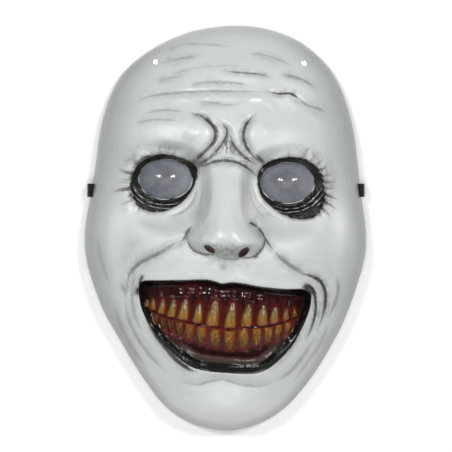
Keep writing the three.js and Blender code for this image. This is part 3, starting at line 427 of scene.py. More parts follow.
# Folds and wrinkles: groove depth, half width, paint darkness, painted line's half width, route. Depth 0 is
# paint alone, and a depth below 0 is a raised line.
folds = [
    (1.9, 2.2, 0.9, 1.3, [
        (-21.5, 72), (-15, 69.8), (-11, 67), (-6.8, 62.5), (-6, 58), (-7.5, 53), (-12, 48.8), (-18.5, 45),
    ]),
    (1.5, 1.8, 0.85, 0.8, [(-4.6, 68), (-1, 64), (0.8, 61), (0.5, 57), (-4, 49.5), (-9, 45.5), (-16, 42)]),
    (1.9, 2.2, 0.88, 1, [
        (18.5, 71), (15, 67.5), (12.6, 64), (11, 58), (12.4, 51.5), (16.5, 45.5), (24, 38.5),
    ]),
    (1.5, 1.8, 0.8, 1, [(2.2, 60), (4.2, 53), (8, 47.6), (13.5, 43), (20, 38.5)]),
    (1.3, 1.8, 0.85, 1, [
        (-20, 37), (-11, 39.8), (-4, 41.8), (4, 41.6), (10, 39.6), (15.5, 36), (20.5, 31.5),
    ]),
    (0.5, 1.1, 0.7, 0.7, [(0.6, 57), (0.4, 52), (1, 45)]),
    (0.5, 1.1, 0.6, 0.6, [(3.2, 53), (3.4, 49), (5.6, 45)]),
    (0, 1.5, 0.55, 1.2, [(-24, 43.5), (-19, 41.4), (-14, 39.4), (-10, 38.2)]),
    (0, 1.5, 0.85, 1.1, [(-8.5, 52), (-12.1, 48), (-16, 44.6), (-19.5, 41.5)]),
    (0, 1.5, 0.8, 0.9, [(-6, 46.4), (-10.5, 43), (-15, 40.9), (-20, 39.6)]),
    (0, 1.5, 0.8, 0.9, [(19, 46), (22, 42.8), (25, 40)]),
    (0, 1.5, 0.95, 1.3, [(47.5, -36.4), (50.5, -36), (53.5, -37.4), (55.6, -41), (56.2, -45)]),
    (0, 1.5, 0.9, 0.9, [(-54.8, -36.5), (-55.2, -39.5), (-55, -42.5)]),
    (0, 1.5, 0.95, 1.2, [(47.5, -37.2), (51, -37.4), (54.3, -39.8), (55, -43)]),
    (0, 1.5, 0.9, 0.9, [(-56.4, 37.6), (-53.3, 41.9), (-48.9, 44.4), (-44.6, 45.3)]),
    (0, 1.5, 0.8, 1, [(-53.6, -37), (-53, -32.4), (-50.6, -29)]),
    (0, 1.5, 0.9, 1.4, [
        (-51, -54.6), (-45.4, -64.4), (-38.3, -73.8), (-30.9, -82.2), (-23.2, -88), (-18.5, -89.8),
    ]),
    (0, 1.5, 0.9, 0.9, [(50, -57.6), (44, -69.2), (38.1, -77), (32.3, -82.8), (26.8, -87.2)]),
    (0.7, 2.2, 0.2, 1.2, [(-80.5, -4), (-79.5, -14), (-76.5, -26), (-72, -37)]),
    (1.6, 1.9, 0.9, 1, [(49, -33.5), (54, -37.5), (56.2, -44.5), (56.4, -52), (54.5, -61), (50.5, -71)]),
    (1.8, 2.2, 0.9, 1.2, [
        (44, -27.5), (52, -29.5), (58.5, -32.5), (62, -38), (62.8, -45), (61.5, -54), (58, -64),
    ]),
    (0.8, 1.8, 0.35, 1.2, [(70, -30), (71, -38), (69, -47), (64, -58)]),
    (2, 2.2, 0.8, 0.75, [(18, 3), (21, -0.5), (23.5, -4.5), (26.8, -9.8), (31, -15)]),
    (1.6, 2.8, 0.5, 1.3, [(30, -14), (35.5, -19.5), (42, -24.5), (50, -28.5)]),
    (1.8, 2.4, 0.7, 0.9, [(-20.5, 1.5), (-23.5, -2), (-25, -5.5), (-28, -8.5)]),
    (1.8, 2.8, 0.5, 1.2, [
        (-27, -6.5), (-33, -10.5), (-40, -15), (-50, -20), (-56, -24), (-60.5, -30), (-61.5, -38),
    ]),
    (1, 2.2, 0.3, 1.2, [(-56, -27), (-57.5, -34), (-58.5, -44), (-56.5, -56), (-52, -66)]),
    (1.2, 2.4, 0.3, 1.3, [(-63, -44), (-61, -57), (-55, -70), (-46, -82), (-36, -91)]),
    (0.9, 2.4, 0.25, 1.3, [(-70, -48), (-66, -62), (-58, -77), (-48, -90)]),
    (1.2, 2.4, 0.3, 1.3, [(57, -68), (50, -79), (41, -90), (31, -97)]),
    (0.9, 2.4, 0.25, 1.3, [(66, -58), (60, -72), (51, -86), (42, -98)]),
    (1.6, 3, 0.28, 1, [
        (-29.3, -95.9), (-22.1, -97.7), (-16.6, -98), (-11.7, -96.5), (-3.4, -94.9), (1, -95.4), (9.1, -98),
        (14, -98.7), (22.1, -99.1), (27.8, -97.4), (32.2, -94.2),
    ]),
    (0.6, 2, 0.18, 0.7, [(-37, 113), (-24, 116.5), (-8, 115.5), (6, 114.5)]),
    (0.7, 2.2, 0.25, 0.8, [(-43, 103), (-33, 106), (-24, 107.5), (-17, 108)]),
    (0.7, 2.2, 0.12, 0.7, [(-35, 97.5), (-16, 101), (3, 102), (18, 101)]),
    (0.7, 2, 0.28, 0.7, [(16, 110), (24, 108.8), (34, 105.8), (44, 101)]),
    (0.9, 1.9, 0.6, 0.7, [(-2, 98.4), (10, 97.2), (20, 96.4), (29, 94.4)]),
    (0.8, 2, 0.4, 0.8, [(34, 95.5), (40, 95.8), (47, 93.8), (53, 90.5), (58, 86)]),
    (0.6, 2, 0.18, 0.8, [(-45, 91), (-34, 94.5), (-24, 95.5)]),
    (0.7, 2, 0.28, 0.8, [(-22, 90), (-8, 91.4), (8, 90.4), (14, 89)]),
    (0.9, 2, 0.32, 0.8, [(-56, 79), (-46, 83), (-30, 84.6), (-12, 85.6), (8, 85.2), (27, 85.2)]),
    (1, 1.9, 0.9, 0.7, [(25, 85.4), (33, 84), (40, 84.2), (44, 82.5), (48, 79.6)]),
    (0.8, 2, 0.35, 0.9, [(44, 82.8), (50, 77.6), (58, 75), (63, 72)]),
    (0.7, 2, 0.3, 0.8, [(-17, 78.6), (-7, 78.2), (1, 77), (9, 77.4)]),
    (0.6, 1.8, 0.24, 0.8, [(-52, 71.5), (-43, 73.4), (-34, 73.6), (-24, 72)]),
    (0.5, 1.8, 0.24, 0.8, [(-56, 65.5), (-46, 67.5), (-36, 67.4), (-28, 66)]),
    (0.6, 1.8, 0.35, 0.8, [(17.5, 27), (18.8, 20), (22.5, 13.5), (28.5, 8), (36, 4.6)]),
    (0.5, 1.8, 0.22, 0.8, [(15.5, 24), (17, 16.5), (21, 10), (27, 5)]),
    (0.5, 1.8, 0.4, 0.8, [(-18, 27), (-18.6, 21), (-22, 14.5), (-28, 9.5), (-36, 7)]),
    (0.5, 1.6, 0.15, 0.8, [(-14, 26), (-15, 19), (-17, 13)]),
    (0.8, 1.5, 0.7, 0.6, [(-23, -4), (-23, -9), (-20.5, -13), (-17, -15.4), (-12, -16.6), (-6, -16.8)]),
    (0.4, 1.6, 0.4, 0.6, [(-6, -17.4), (0, -18.8), (6, -19.4), (12, -18.9)]),
    (0, 1, 0.95, 0.5, [(-19, -14.2), (-14, -15.9), (-9, -16.4), (-4, -17)]),
    (0, 1, 0.95, 0.5, [(6.5, -17.6), (11, -18.4), (15.2, -18.4), (19.3, -17.5), (22, -15)]),
    (0, 1.2, 0.95, 0.8, [(14, 3.4), (17.2, 2.4), (20, 0.2)]),
    (0.8, 1.5, 0.75, 0.7, [(9, -19), (15.5, -18.4), (20, -16), (23, -12.2), (24.4, -8), (23.8, -4)]),
    (-0.6, 1.5, 0, 0.1, [(-20, 115.4), (-14, 117), (-7, 117.6)]),
    (-0.7, 1.6, 0, 0.1, [(-31, 82.4), (-26, 81.2), (-20, 79)]),
    (-0.6, 1.5, 0, 0.1, [(14, 80.2), (19, 81.4), (24, 80.2)]),
    (-0.8, 1.8, 0, 0.1, [(25.5, 79), (28.5, 76.8), (30.5, 73.6)]),
]
# Grooves: the raised shoulders beside them and how their ends fade
groove = {"shoulder": 0.2, "shoulderAt": 2, "shoulderWidth": 1.2, "taper": 4, "blunt": 0.04, "room": 6}
# Brushed lines: how they thin out at both ends, or outwards in the crow's feet, and the grey beside them
brush = {
    "room": 9.0, "taper": 3.2, "blunt": 0.05, "footStart": 1.02, "footTaper": 1.15, "footFade": 0.7,
    "gives": (1.8, 0.9), "washWidth": 1.2,
}
# Grey patches: the mask's airbrushed grey, and painted shade under the nose: middle, half sizes, turn and
# darkness
shadeAndGreyPatches = [
    ((-0.4, -23.4), (3.6, 3.2), 0, 1.1), ((-20, 41.5), (8, 5), -20, 1.15), ((-56, 43), (8, 6), 30, 1),
    ((-56.5, 24), (4, 9), 8, 0.8), ((-41, 50.5), (17, 4), 4, 0.7), ((64, 29), (5, 14), 4, 0.95),
    ((50.9, -37.3), (2.4, 1.6), 0, 1.2), ((53, 45), (10, 5), -30, 0.9), ((-15.5, 9), (5, 10), 4, 0.5),
    ((1, -14.5), (14, 6.5), -4, 1.1), ((2, -29), (34, 6), 0, 0.25), ((2, -21.5), (18, 3.5), 0, 0.6),
    ((-15.5, -8), (6, 5), 0, 0.25), ((17, -10), (6, 5), 0, 0.12), ((-45, 2), (9, 2.6), -14, 0.25),
    ((-58, -10), (7, 4), 30, 0.35), ((-25, 107.5), (9, 2.6), 12, 0.5), ((-31, 104), (7, 2.4), 8, 0.45),
    ((-36, 93), (9, 2.4), 12, 0.35), ((46, 79), (8, 2.4), -24, 0.5), ((56, 73), (7, 3), -30, 0.4),
    ((3, 78), (11, 2.2), 0, 0.35), ((-36, 68), (13, 2.2), 4, 0.3), ((-63, -37.5), (3, 5), 6, 1),
    ((-53.5, -21.5), (5, 2.6), 30, 0.8), ((29, 10), (8, 4), -30, 0.35), ((-55.5, -38.5), (2.2, 6), 4, 0.8),
    ((-12, 41), (5, 3.5), 0, 0.6), ((23.5, 41), (5, 4), 30, 0.6), ((0, -1), (13, 6), 0, 0.22),
    ((-62, 15), (5, 5), 0, 0.4), ((-62, -18), (8, 4), 50, 0.25), ((66, -30), (4, 12), 12, 0.25),
    ((58, -68), (5, 12), -20, 0.3), ((-52, -74), (5, 12), 30, 0.3), ((-12, -14.5), (7, 4), 0, 0.4),
    ((-27.5, -10.5), (3.5, 3), -30, 0.6), ((-24, 56.5), (8, 3.5), -10, 0.4),
    ((-19.5, 22.5), (2.5, 6), 10, 0.5), ((1, 51), (7, 8), 0, 0.25), ((-1, -13), (4, 5), 0, 0.25),
    ((-30, 5), (9, 2.2), -24, 0.2),
]
# Grey dry-brushed over the black of the sockets: middle, half sizes, turn and share
dusts = [((-45, 13.5), (13, 3.6), -14, 0.75), ((-28, 44), (9, 2.4), -18, 0.9), ((52, 9), (8, 2.6), 10, 0.3)]
# Painted light: patches in a purer white that lighten forms the lamps leave darker: middle, half sizes, turn
# and share
paintedLightPatches = [
    ((16, 14), (5, 13), -4, 1), ((-13.5, 14), (4, 12), 4, 0.35), ((2, -114), (34, 8), 0, 0.5),
    ((12, 95), (16, 6), 0, 0.5), ((-7, 60), (6, 7), 0, 0.7), ((36, 53), (15, 6), 0, 0.5),
    ((-37, 60), (14, 6), 0, 0.4), ((72, 8), (6, 16), 8, 0.9), ((-66, 6), (6, 16), -8, 0.4),
    ((40, 84), (9, 8), 0, 0.5),
]
# Duller patches where the spray dried before it hit: middle, half sizes, turn and share
dullPatches = [
    ((-44, -8), (9, 7), 0, 1), ((40, -11), (10, 8), 0, 1), ((-11, -20.5), (9, 4), 0, 1),
    ((12, -23), (9, 4), 0, 1), ((-29, -14), (7, 4), 0, 1), ((29, -9), (5, 4), 0, 1),
    ((-33, 61), (6, 5), 0, 1), ((21, 61), (4, 5), 0, 1), ((-2, -99.5), (14, 5), 0, 1),
]
# Painted shade, sprayed grey in from the rim to darken the steep sides: how far it reaches at each height,
# and how it thins at the crown and the ends
rimShade = {
    "atY": [-129, -85, -60, -25, 0, 30, 50, 75, 100, 129], "reach": [7, 8, 12, 19, 18, 22, 29, 27, 18, 12],
    "crownLoss": 0.6, "crownY": (60, 90), "crownX": (60, 25), "edge": 9, "endLoss": 0.5, "endY": (90, 120),
}
# Where other paint comes in, by x or y, and how strongly
region = {
    # seatHighlight: the painted highlight ring at the edge of each eye opening
    "washAndShadeDull": 0.4, "seatHighlightShare": 0.3, "seatHighlightLow": (0.3, -0.4), "nostril": (0.92, 0.78),
    "wider": 0.55, "widerX": (30, 42), "widerTop": (-43, -50), "widerFoot": (-88, -76),
    "dimUpper": 0.45, "dimMiddle": -3, "dimUpperX": (32, 48), "dimLowerX": (-20, -34),
    "cornerX": (26, 44), "cornerY": (-84, -70), "thin": 0.85, "thinX": (-4, -16), "thinY": (-52, -46),
}
# Inside of the sheet: only the deep folds show there, softer
innerSheet = {"share": 0.95, "spread": 1.3, "fromDepth": 1, "slopeStep": 0.25}
# Openings cut through the sheet
cut = {
    "eyeZ": 60, "eyeDepth": 60, "eyeSides": 96, "holes": [(-44.3, 105), (49.6, 104)], "holeZ": 45,
    "holeSize": (1.5, 1.5, 60), "holeSides": 24, "slot": (12, 9.5, 2.2),
}

rimLine = throughPoints(shell["rim"], True, 12)
mouthLine = throughPoints(mouth["outline"], True, 5)
biteLine = throughPoints(mouth["bite"], False, 6)
foldLines = [(*fold[:4], throughPoints(fold[4], False, 4)) for fold in folds]
noseLines = [throughPoints(nose[name], False, 8) for name in ("height", "half", "squareness")]


# Height of the nose over the cheeks, with its wings
def noseHeight(x, y):
    share = (nose["top"][1] - y) / (nose["top"][1] - nose["tip"][1])
    middle = nose["top"][0] + (nose["tip"][0] - nose["top"][0]) * share
    height, half, squareness = (np.interp(y, line[:, 0], line[:, 1]) for line in noseLines)
    height = height * np.exp(-(np.abs(x - middle) / half) ** squareness)
    for at, size, rise in nose["wings"]:
        height = height + rise * hump(x, y, at, size)
    base = nose["baseMiddle"] + nose["baseCurve"] * (x - middle) ** 2
    return height * smoothStep(base, base + nose["baseFall"], y)


# How deep a place lies in a socket: 0 on its floor and 1 outside, with a longer slope below the eye
def socketRise(x, y, eye):
    u, v = turned(x, y, eye["socketAt"], eye["turn"])
    u = u / eye["socket"][0]
    v = v / eye["socket"][1]
    power = socket["squareness"]
    reach = (np.abs(u) ** power + np.abs(v) ** power) ** (1 / power)
    down = np.clip(-v / np.maximum(np.hypot(u, v), 0.01), 0, 1)
    return smoothStep(socket["flat"], socket["edge"] + socket["drop"] * down ** socket["dropPower"], reach)


# Large forms, which both faces of the sheet follow
def broadForm(x, y):
    rho = np.minimum(1, np.hypot(x, y) / radiusAt(rimLine, np.arctan2(y, x)))
    height = noseHeight(x, y)
    for at, size, rise in shell["mounds"].values():
        height = height + rise * hump(x, y, at, size)
    for at, size, turn, depth in nose["nostrils"]:
        height = height - depth * hump(x, y, at, size, turn)
    toMouth = toOutline(x, y, mouthLine)
    height = height - mouth["depth"] * smoothStep(-mouth["over"], mouth["edge"], -toMouth)
    height = height + mouth["lipRoll"] * np.exp(-((toMouth - mouth["lipAt"]) / mouth["lipWidth"]) ** 2)
    lipBand = np.exp(-((toMouth + mouth["lowerLipIn"]) / mouth["lowerLipWidth"]) ** 2)
    height = height + mouth["lowerLip"] * smoothStep(*mouth["lowerLipFrom"], y) * lipBand
    dome = shell["domeHeight"] * np.sqrt(np.maximum(0, 1 - rho ** shell["roundness"]))
    z = dome + height * (1 - rho ** shell["rimFade"])
    for eye in eyes.values():
        z = eye["floor"] + (z - eye["floor"]) * socketRise(x, y, eye)
    return z


# Distance to the nearest tooth of a row, with the place along and across it
def toTeeth(x, y, row):
    best = np.full(x.shape, farOff)
    along = np.zeros(x.shape)
    across = np.zeros(x.shape)
    for footX, half, rootX, rootY in row["teeth"]:
        footY = np.interp(footX, biteLine[:, 0], biteLine[:, 1]) + row["way"] * tooth["biteGap"]
        foot = np.array((footX, footY + row["way"] * half * tooth["footRound"]))
        root = np.array((rootX, rootY - row["way"] * tooth["rootHalf"]))
        distance, t, _ = nearRoute(x, y, np.array([foot, root]))
        width = half * tooth["swell"] * row["wider"] * (1 + (row["rootShare"] - 1) * t ** row["taper"])
        distance = np.maximum(distance - width, (footY - y) * row["way"])
        closer = distance < best
        best = np.where(closer, distance, best)
        along = np.where(closer, np.clip((y - footY) / (rootY - footY), 0, 1), along)
        across = np.where(closer, (x - foot[0] - t * (root[0] - foot[0])) / width, across)
    return best, along, across


# Goes through strokes and gives, for the places near each, what nearRoute finds
def eachStroke(x, y, lines, room, roomPerWidth):
    for *stroke, line in lines:
        low = line.min(0) - room - roomPerWidth * stroke[1]
        high = line.max(0) + room + roomPerWidth * stroke[1]
        near = (x > low[0]) & (x < high[0]) & (y > low[1]) & (y < high[1])
        if near.any():
            yield stroke, near, nearRoute(x[near], y[near], line)


def foldRelief(x, y, lines, share, spread):
    height = np.zeros(x.shape)
    for (depth, width, _, _), near, (distance, along, _) in eachStroke(x, y, lines, 0, groove["room"]):
        wide = width * spread
        ends = np.minimum(along + groove["blunt"], 1 + groove["blunt"] - along)
        hollow = np.exp(-(distance / wide) ** 2)
        shoulder = np.exp(-((distance - groove["shoulderAt"] * wide) / (groove["shoulderWidth"] * wide)) ** 2)
        taper = np.minimum(1, groove["taper"] * ends)
        height[near] += share * depth * taper * (groove["shoulder"] * shoulder - hollow)
    return height


# Crow's feet around a socket: short strokes that run outwards from the black paint
feet = {
    "depth": 0.45, "width": 1.2, "inside": 1.2, "longer": 1.5, "lean": 9, "leanBeat": 1.7, "bow": 0.07,
    "bowBeat": 2.9,
}


def crowsFeet(eye):
    centre = np.array(eye["socketAt"])
    outline = throughPoints(eye["paint"], True, 6) - centre
    strokes = []
    for degrees, length, half, dark in eye["feet"]:
        angle = math.radians(degrees)
        lean = math.radians(feet["lean"] * math.sin(degrees * feet["leanBeat"]))
        bow = feet["bow"] * length * math.sin(degrees * feet["bowBeat"])
        start = radiusAt(outline, angle) - feet["inside"]
        first = centre + start * np.array((math.cos(angle), math.sin(angle)))
        last = first + (length + feet["longer"]) * np.array((math.cos(angle + lean), math.sin(angle + lean)))
        aside = np.array((-math.sin(angle), math.cos(angle))) * bow
        line = throughPoints([first, (first + last) / 2 + aside, last], False, 4)
        strokes.append((feet["depth"] * dark, feet["width"], dark, half, line))
    return strokes


# Thin scratches of the dry brush beside the painted folds of the forehead and brow
scratch = {
    "each": 3, "faintest": 0.1, "lowest": 36, "starts": 0.6, "shortest": 0.2, "longest": 0.5, "fewest": 3,
    "spread": 0.5, "aside": 1.9, "depth": 0.12, "width": 0.8, "half": 0.28, "share": 0.85, "palest": 0.35,
}


def scratchLines():
    chance = np.random.default_rng(11)
    strokes = []
    for _, _, dark, _, line in foldLines:
        if dark < scratch["faintest"] or line[:, 1].min() < scratch["lowest"]:
            continue
        for _ in range(scratch["each"]):
            first = int(chance.uniform(0, scratch["starts"]) * len(line))
            steps = int(chance.uniform(scratch["shortest"], scratch["longest"]) * len(line))
            part = line[first:first + max(scratch["fewest"], steps)]
            if len(part) < scratch["fewest"]:
                continue
            run = part[-1] - part[0]
            shift = chance.normal(0, scratch["spread"]) * scratch["aside"]
            aside = np.array((-run[1], run[0])) / np.linalg.norm(run) * shift
            tone = scratch["share"] * max(dark, scratch["palest"])
            strokes.append((scratch["depth"], scratch["width"], tone, scratch["half"], part + aside))
    return strokes


footLines = [stroke for eye in eyes.values() for stroke in crowsFeet(eye)]
foldLines += scratchLines()

# Low swells that a hand-sculpted master leaves all over the skin: how many, lengths and steepness
swells = [(14, 9, 30, 0.0035), (12, 4, 9, 0.0022)]


def handSwell(x, y):
    swell = np.zeros(x.shape)
    chance = np.random.default_rng(7)
    for count, shortest, longest, steepness in swells:
        for _ in range(count):
            length = chance.uniform(shortest, longest)
            angle = chance.uniform(0, 2 * math.pi)
            phase = chance.uniform(0, 2 * math.pi)
            along = x * math.cos(angle) + y * math.sin(angle)
            swell += steepness * length * np.sin(along * 2 * math.pi / length + phase)
    return swell


# How far a place lies outside the edge of an eye opening, in which direction and how high up
def aroundEye(x, y, eye):
    u = (x - eye["at"][0]) / eye["opening"][0]
    v = (y - eye["at"][1]) / eye["opening"][1]
    return (np.hypot(u, v) - 1) * eye["opening"][1], np.degrees(np.arctan2(v, u)) % 360, v


# Where the ridges run below an eye, fading at both ends
def ridgeArc(angle, eye, fade):
    start, end = eye["ridges"]
    return smoothStep(start, start + fade, angle) * smoothStep(end, end - fade, angle)


# Uneven ripples along x: their distance, and how far and how slowly they sway
def ripples(x, apart, sway, slow):
    return np.cos(x * 2 * math.pi / apart + sway * np.sin(x / slow))


# Small forms on the outside: grooves, teeth, gums, ridges in the sockets
def outerRelief(x, y):
    height = foldRelief(x, y, foldLines + footLines, 1, 1) + handSwell(x, y)
    toMouth = toOutline(x, y, mouthLine)
    inMouth = smoothStep(0, -2, toMouth)
    for row in (upperRow, lowerRow):
        distance, along, across = toTeeth(x, y, row)
        form = tooth["height"] * (1 - tooth["rootFall"] * along ** 2) - tooth["crown"] * across ** 2
        height += inMouth * form * smoothStep(0.5, -tooth["soft"], distance)
        for _, half, rootX, rootY in row["teeth"]:
            at = (rootX + row["gumAt"][0], rootY + row["gumAt"][1])
            height += inMouth * row["gum"] * hump(x, y, at, (half * row["gumSize"][0], row["gumSize"][1]))
    upperGum = smoothStep(*gumRoll["side"], np.abs(x - gumRoll["middle"])) * smoothStep(*gumRoll["level"], y)
    rise = np.clip((-toMouth - gumRoll["starts"]) / (gumRoll["crest"] - gumRoll["starts"]), 0, 1)
    fall = smoothStep(gumRoll["ends"], gumRoll["crest"], -toMouth)
    ribs = gumRoll["rib"] * ripples(x, *gumRoll["ripples"])
    height += upperGum * fall * (gumRoll["height"] * rise + ribs * smoothStep(0, 0.2, rise))
    lip = np.exp(-((toMouth + lipCrease["in"]) / lipCrease["width"]) ** 2)
    lip = lip * smoothStep(*mouth["lowerLipFrom"], y)
    height += lipCrease["height"] * lip * ripples(x, *lipCrease["ripples"])
    for eye in eyes.values():
        out, angle, _ = aroundEye(x, y, eye)
        band = smoothStep(*ridge["starts"], out) * smoothStep(*ridge["ends"], out)
        wave = np.cos((out - ridge["first"]) * 2 * math.pi / ridge["apart"])
        height += ridge["height"] * ridgeArc(angle, eye, ridge["fade"]) * band * wave
    return height


def innerRelief(x, y):
    deep = [fold for fold in foldLines if fold[0] >= innerSheet["fromDepth"]]
    return foldRelief(x, y, deep, innerSheet["share"], innerSheet["spread"])


# A square grid drawn out to the oval of the mask, closer rows towards the steep rim
def discPlaces(points):
    a, b = points[:, 0], points[:, 1]
    wide = np.abs(a) > np.abs(b)
    reach = np.where(wide, np.abs(a), np.abs(b))
    safeA = np.where(wide, a, 1)
    safeB = np.where(wide, 1, np.where(b == 0, 1, b))
    angle = np.where(wide, math.pi / 4 * b / safeA, math.pi / 2 - math.pi / 4 * a / safeB)
    sign = np.where(wide, np.sign(a), np.sign(b))
    angle = np.arctan2(sign * np.sin(angle), sign * np.cos(angle))
    flow = shell["rimFlow"]
    rho = reach * (1 + (1 - reach ** flow) / flow)
    radius = rho * radiusAt(rimLine, angle)
    return radius * np.cos(angle), radius * np.sin(angle), rho


def shellFace(name, cells, relief):
    bpy.ops.mesh.primitive_grid_add(x_subdivisions=cells[0], y_subdivisions=cells[1], size=2)
    piece = bpy.context.object
    piece.name = name
    x, y, rho = discPlaces(meshPoints(piece))
    onRim = rho > 0.99999
    z = np.where(onRim, 0, broadForm(x, y) + relief(x, y) * (1 - rho ** shell["rimFade"]))
    movePoints(piece, np.stack([x, y, z], 1) * mm)
    return piece, x, y, onRim


# The step through the wall to the inside, square to the sheet
def innerOffset(x, y, onRim):
    step = innerSheet["slopeStep"]

    def height(px, py):
        return broadForm(px, py) + innerRelief(px, py)

    slopeX = (height(x + step, y) - height(x - step, y)) / (2 * step)
    slopeY = (height(x, y + step) - height(x, y - step)) / (2 * step)
    normal = np.stack([-slopeX, -slopeY, np.ones_like(x)], 1)
    outward = np.stack([x, y, np.zeros_like(x)], 1)
    normal[onRim] = outward[onRim]
    return -shell["wall"] * normal / np.linalg.norm(normal, axis=1)[:, None]


# Cuts one opening through the sheet, with a rod of so many sides or with a block
def cutOpening(sheet, at, size, sides=0):
    if sides:
        bpy.ops.mesh.primitive_cylinder_add(vertices=sides, radius=1, depth=1)
    else:
        bpy.ops.mesh.primitive_cube_add(size=1)
    item = bpy.context.object
    item.scale = [value * mm for value in size]
    item.location = [value * mm for value in at]
    selectOnly(item)
    bpy.ops.object.transform_apply(location=True, rotation=True, scale=True)
    item.data.materials.append(sheet.data.materials[1])
    selectOnly(sheet)
    modifier = sheet.modifiers.new("opening", "BOOLEAN")
    modifier.operation = "DIFFERENCE"
    modifier.object = item
    modifier.solver = "MANIFOLD"
    bpy.ops.object.modifier_apply(modifier=modifier.name)
    bpy.data.objects.remove(item)


def joinRim(outer, inner):
    selectOnly(outer, inner)
    bpy.ops.object.join()
    bpy.ops.object.mode_set(mode="EDIT")
    bpy.ops.mesh.select_mode(type="EDGE")
    bpy.ops.mesh.select_all(action="DESELECT")
    bpy.ops.mesh.select_non_manifold(extend=False, use_wire=False, use_boundary=True, use_multi_face=False,
                                     use_non_contiguous=False, use_verts=False)
    bpy.ops.mesh.bridge_edge_loops()
    bpy.ops.object.mode_set(mode="OBJECT")


def makeShell():
    outer = shellFace("maskFace", shell["cells"], outerRelief)[0]
    inner, x, y, onRim = shellFace("maskInside", shell["innerCells"], innerRelief)
    say("both faces of the sheet shaped")
    movePoints(inner, meshPoints(inner) + innerOffset(x, y, onRim) * mm)
    editAll(inner, bpy.ops.mesh.flip_normals)
    for name in ("paintedFace", "bareInside"):
        outer.data.materials.append(bpy.data.materials.new(name))
    inner.data.materials.append(outer.data.materials[1])
    joinRim(outer, inner)
    say("rim joined")
    for eye in eyes.values():
        cutOpening(outer, (*eye["at"], cut["eyeZ"]), (*eye["opening"], cut["eyeDepth"]), cut["eyeSides"])
    for at in cut["holes"]:
        cutOpening(outer, (*at, cut["holeZ"]), cut["holeSize"], cut["holeSides"])
    for wall in strapEnd["wall"]:
        for height in (strapEnd["slotUpper"], strapEnd["slotLower"]):
            cutOpening(outer, (wall, strapEnd["at"], height), cut["slot"])
    smoothByAngle(outer, shell["smoothAngle"])
    say("openings cut, %d faces" % len(outer.data.polygons))
    return outer


# Painted lines: place across the nearest stroke, its half width and darkness there, and the grey beside it
def strokeField(x, y):
    edge = np.full(x.shape, brush["room"])
    across = np.full(x.shape, brush["room"])
    halfWidth = np.full(x.shape, 0.1)
    tone = np.zeros(x.shape)
    washAndShade = np.zeros(x.shape)
    for lines, oneEnded in ((foldLines, False), (footLines, True)):
        for stroke, near, (distance, along, side) in eachStroke(x, y, lines, brush["room"], 0):
            _, width, dark, half = stroke
            ends = np.minimum(along + brush["blunt"], 1 + brush["blunt"] - along)
            taper = np.minimum(1, brush["taper"] * ends)
            fade = np.sqrt(taper)
            if oneEnded:
                taper = brush["footStart"] - along ** brush["footTaper"]
                fade = taper ** brush["footFade"]
            past = distance - half * taper
            closer = past < edge[near]
            edge[near] = np.where(closer, past, edge[near])
            across[near] = np.where(closer, side * distance, across[near])
            halfWidth[near] = np.where(closer, half * taper, halfWidth[near])
            tone[near] = np.where(closer, dark * fade * smoothStep(*brush["gives"], past), tone[near])
            beside = np.exp(-(distance / (brush["washWidth"] + width)) ** 2)
            washAndShade[near] = np.maximum(washAndShade[near], dark * taper * beside)
    return across, halfWidth, tone, washAndShade


# The strongest of some oval patches at each place
def patchField(x, y, patches):
    strongest = np.zeros(x.shape)
    for at, size, turn, share in patches:
        strongest = np.maximum(strongest, share * hump(x, y, at, size, turn))
    return strongest


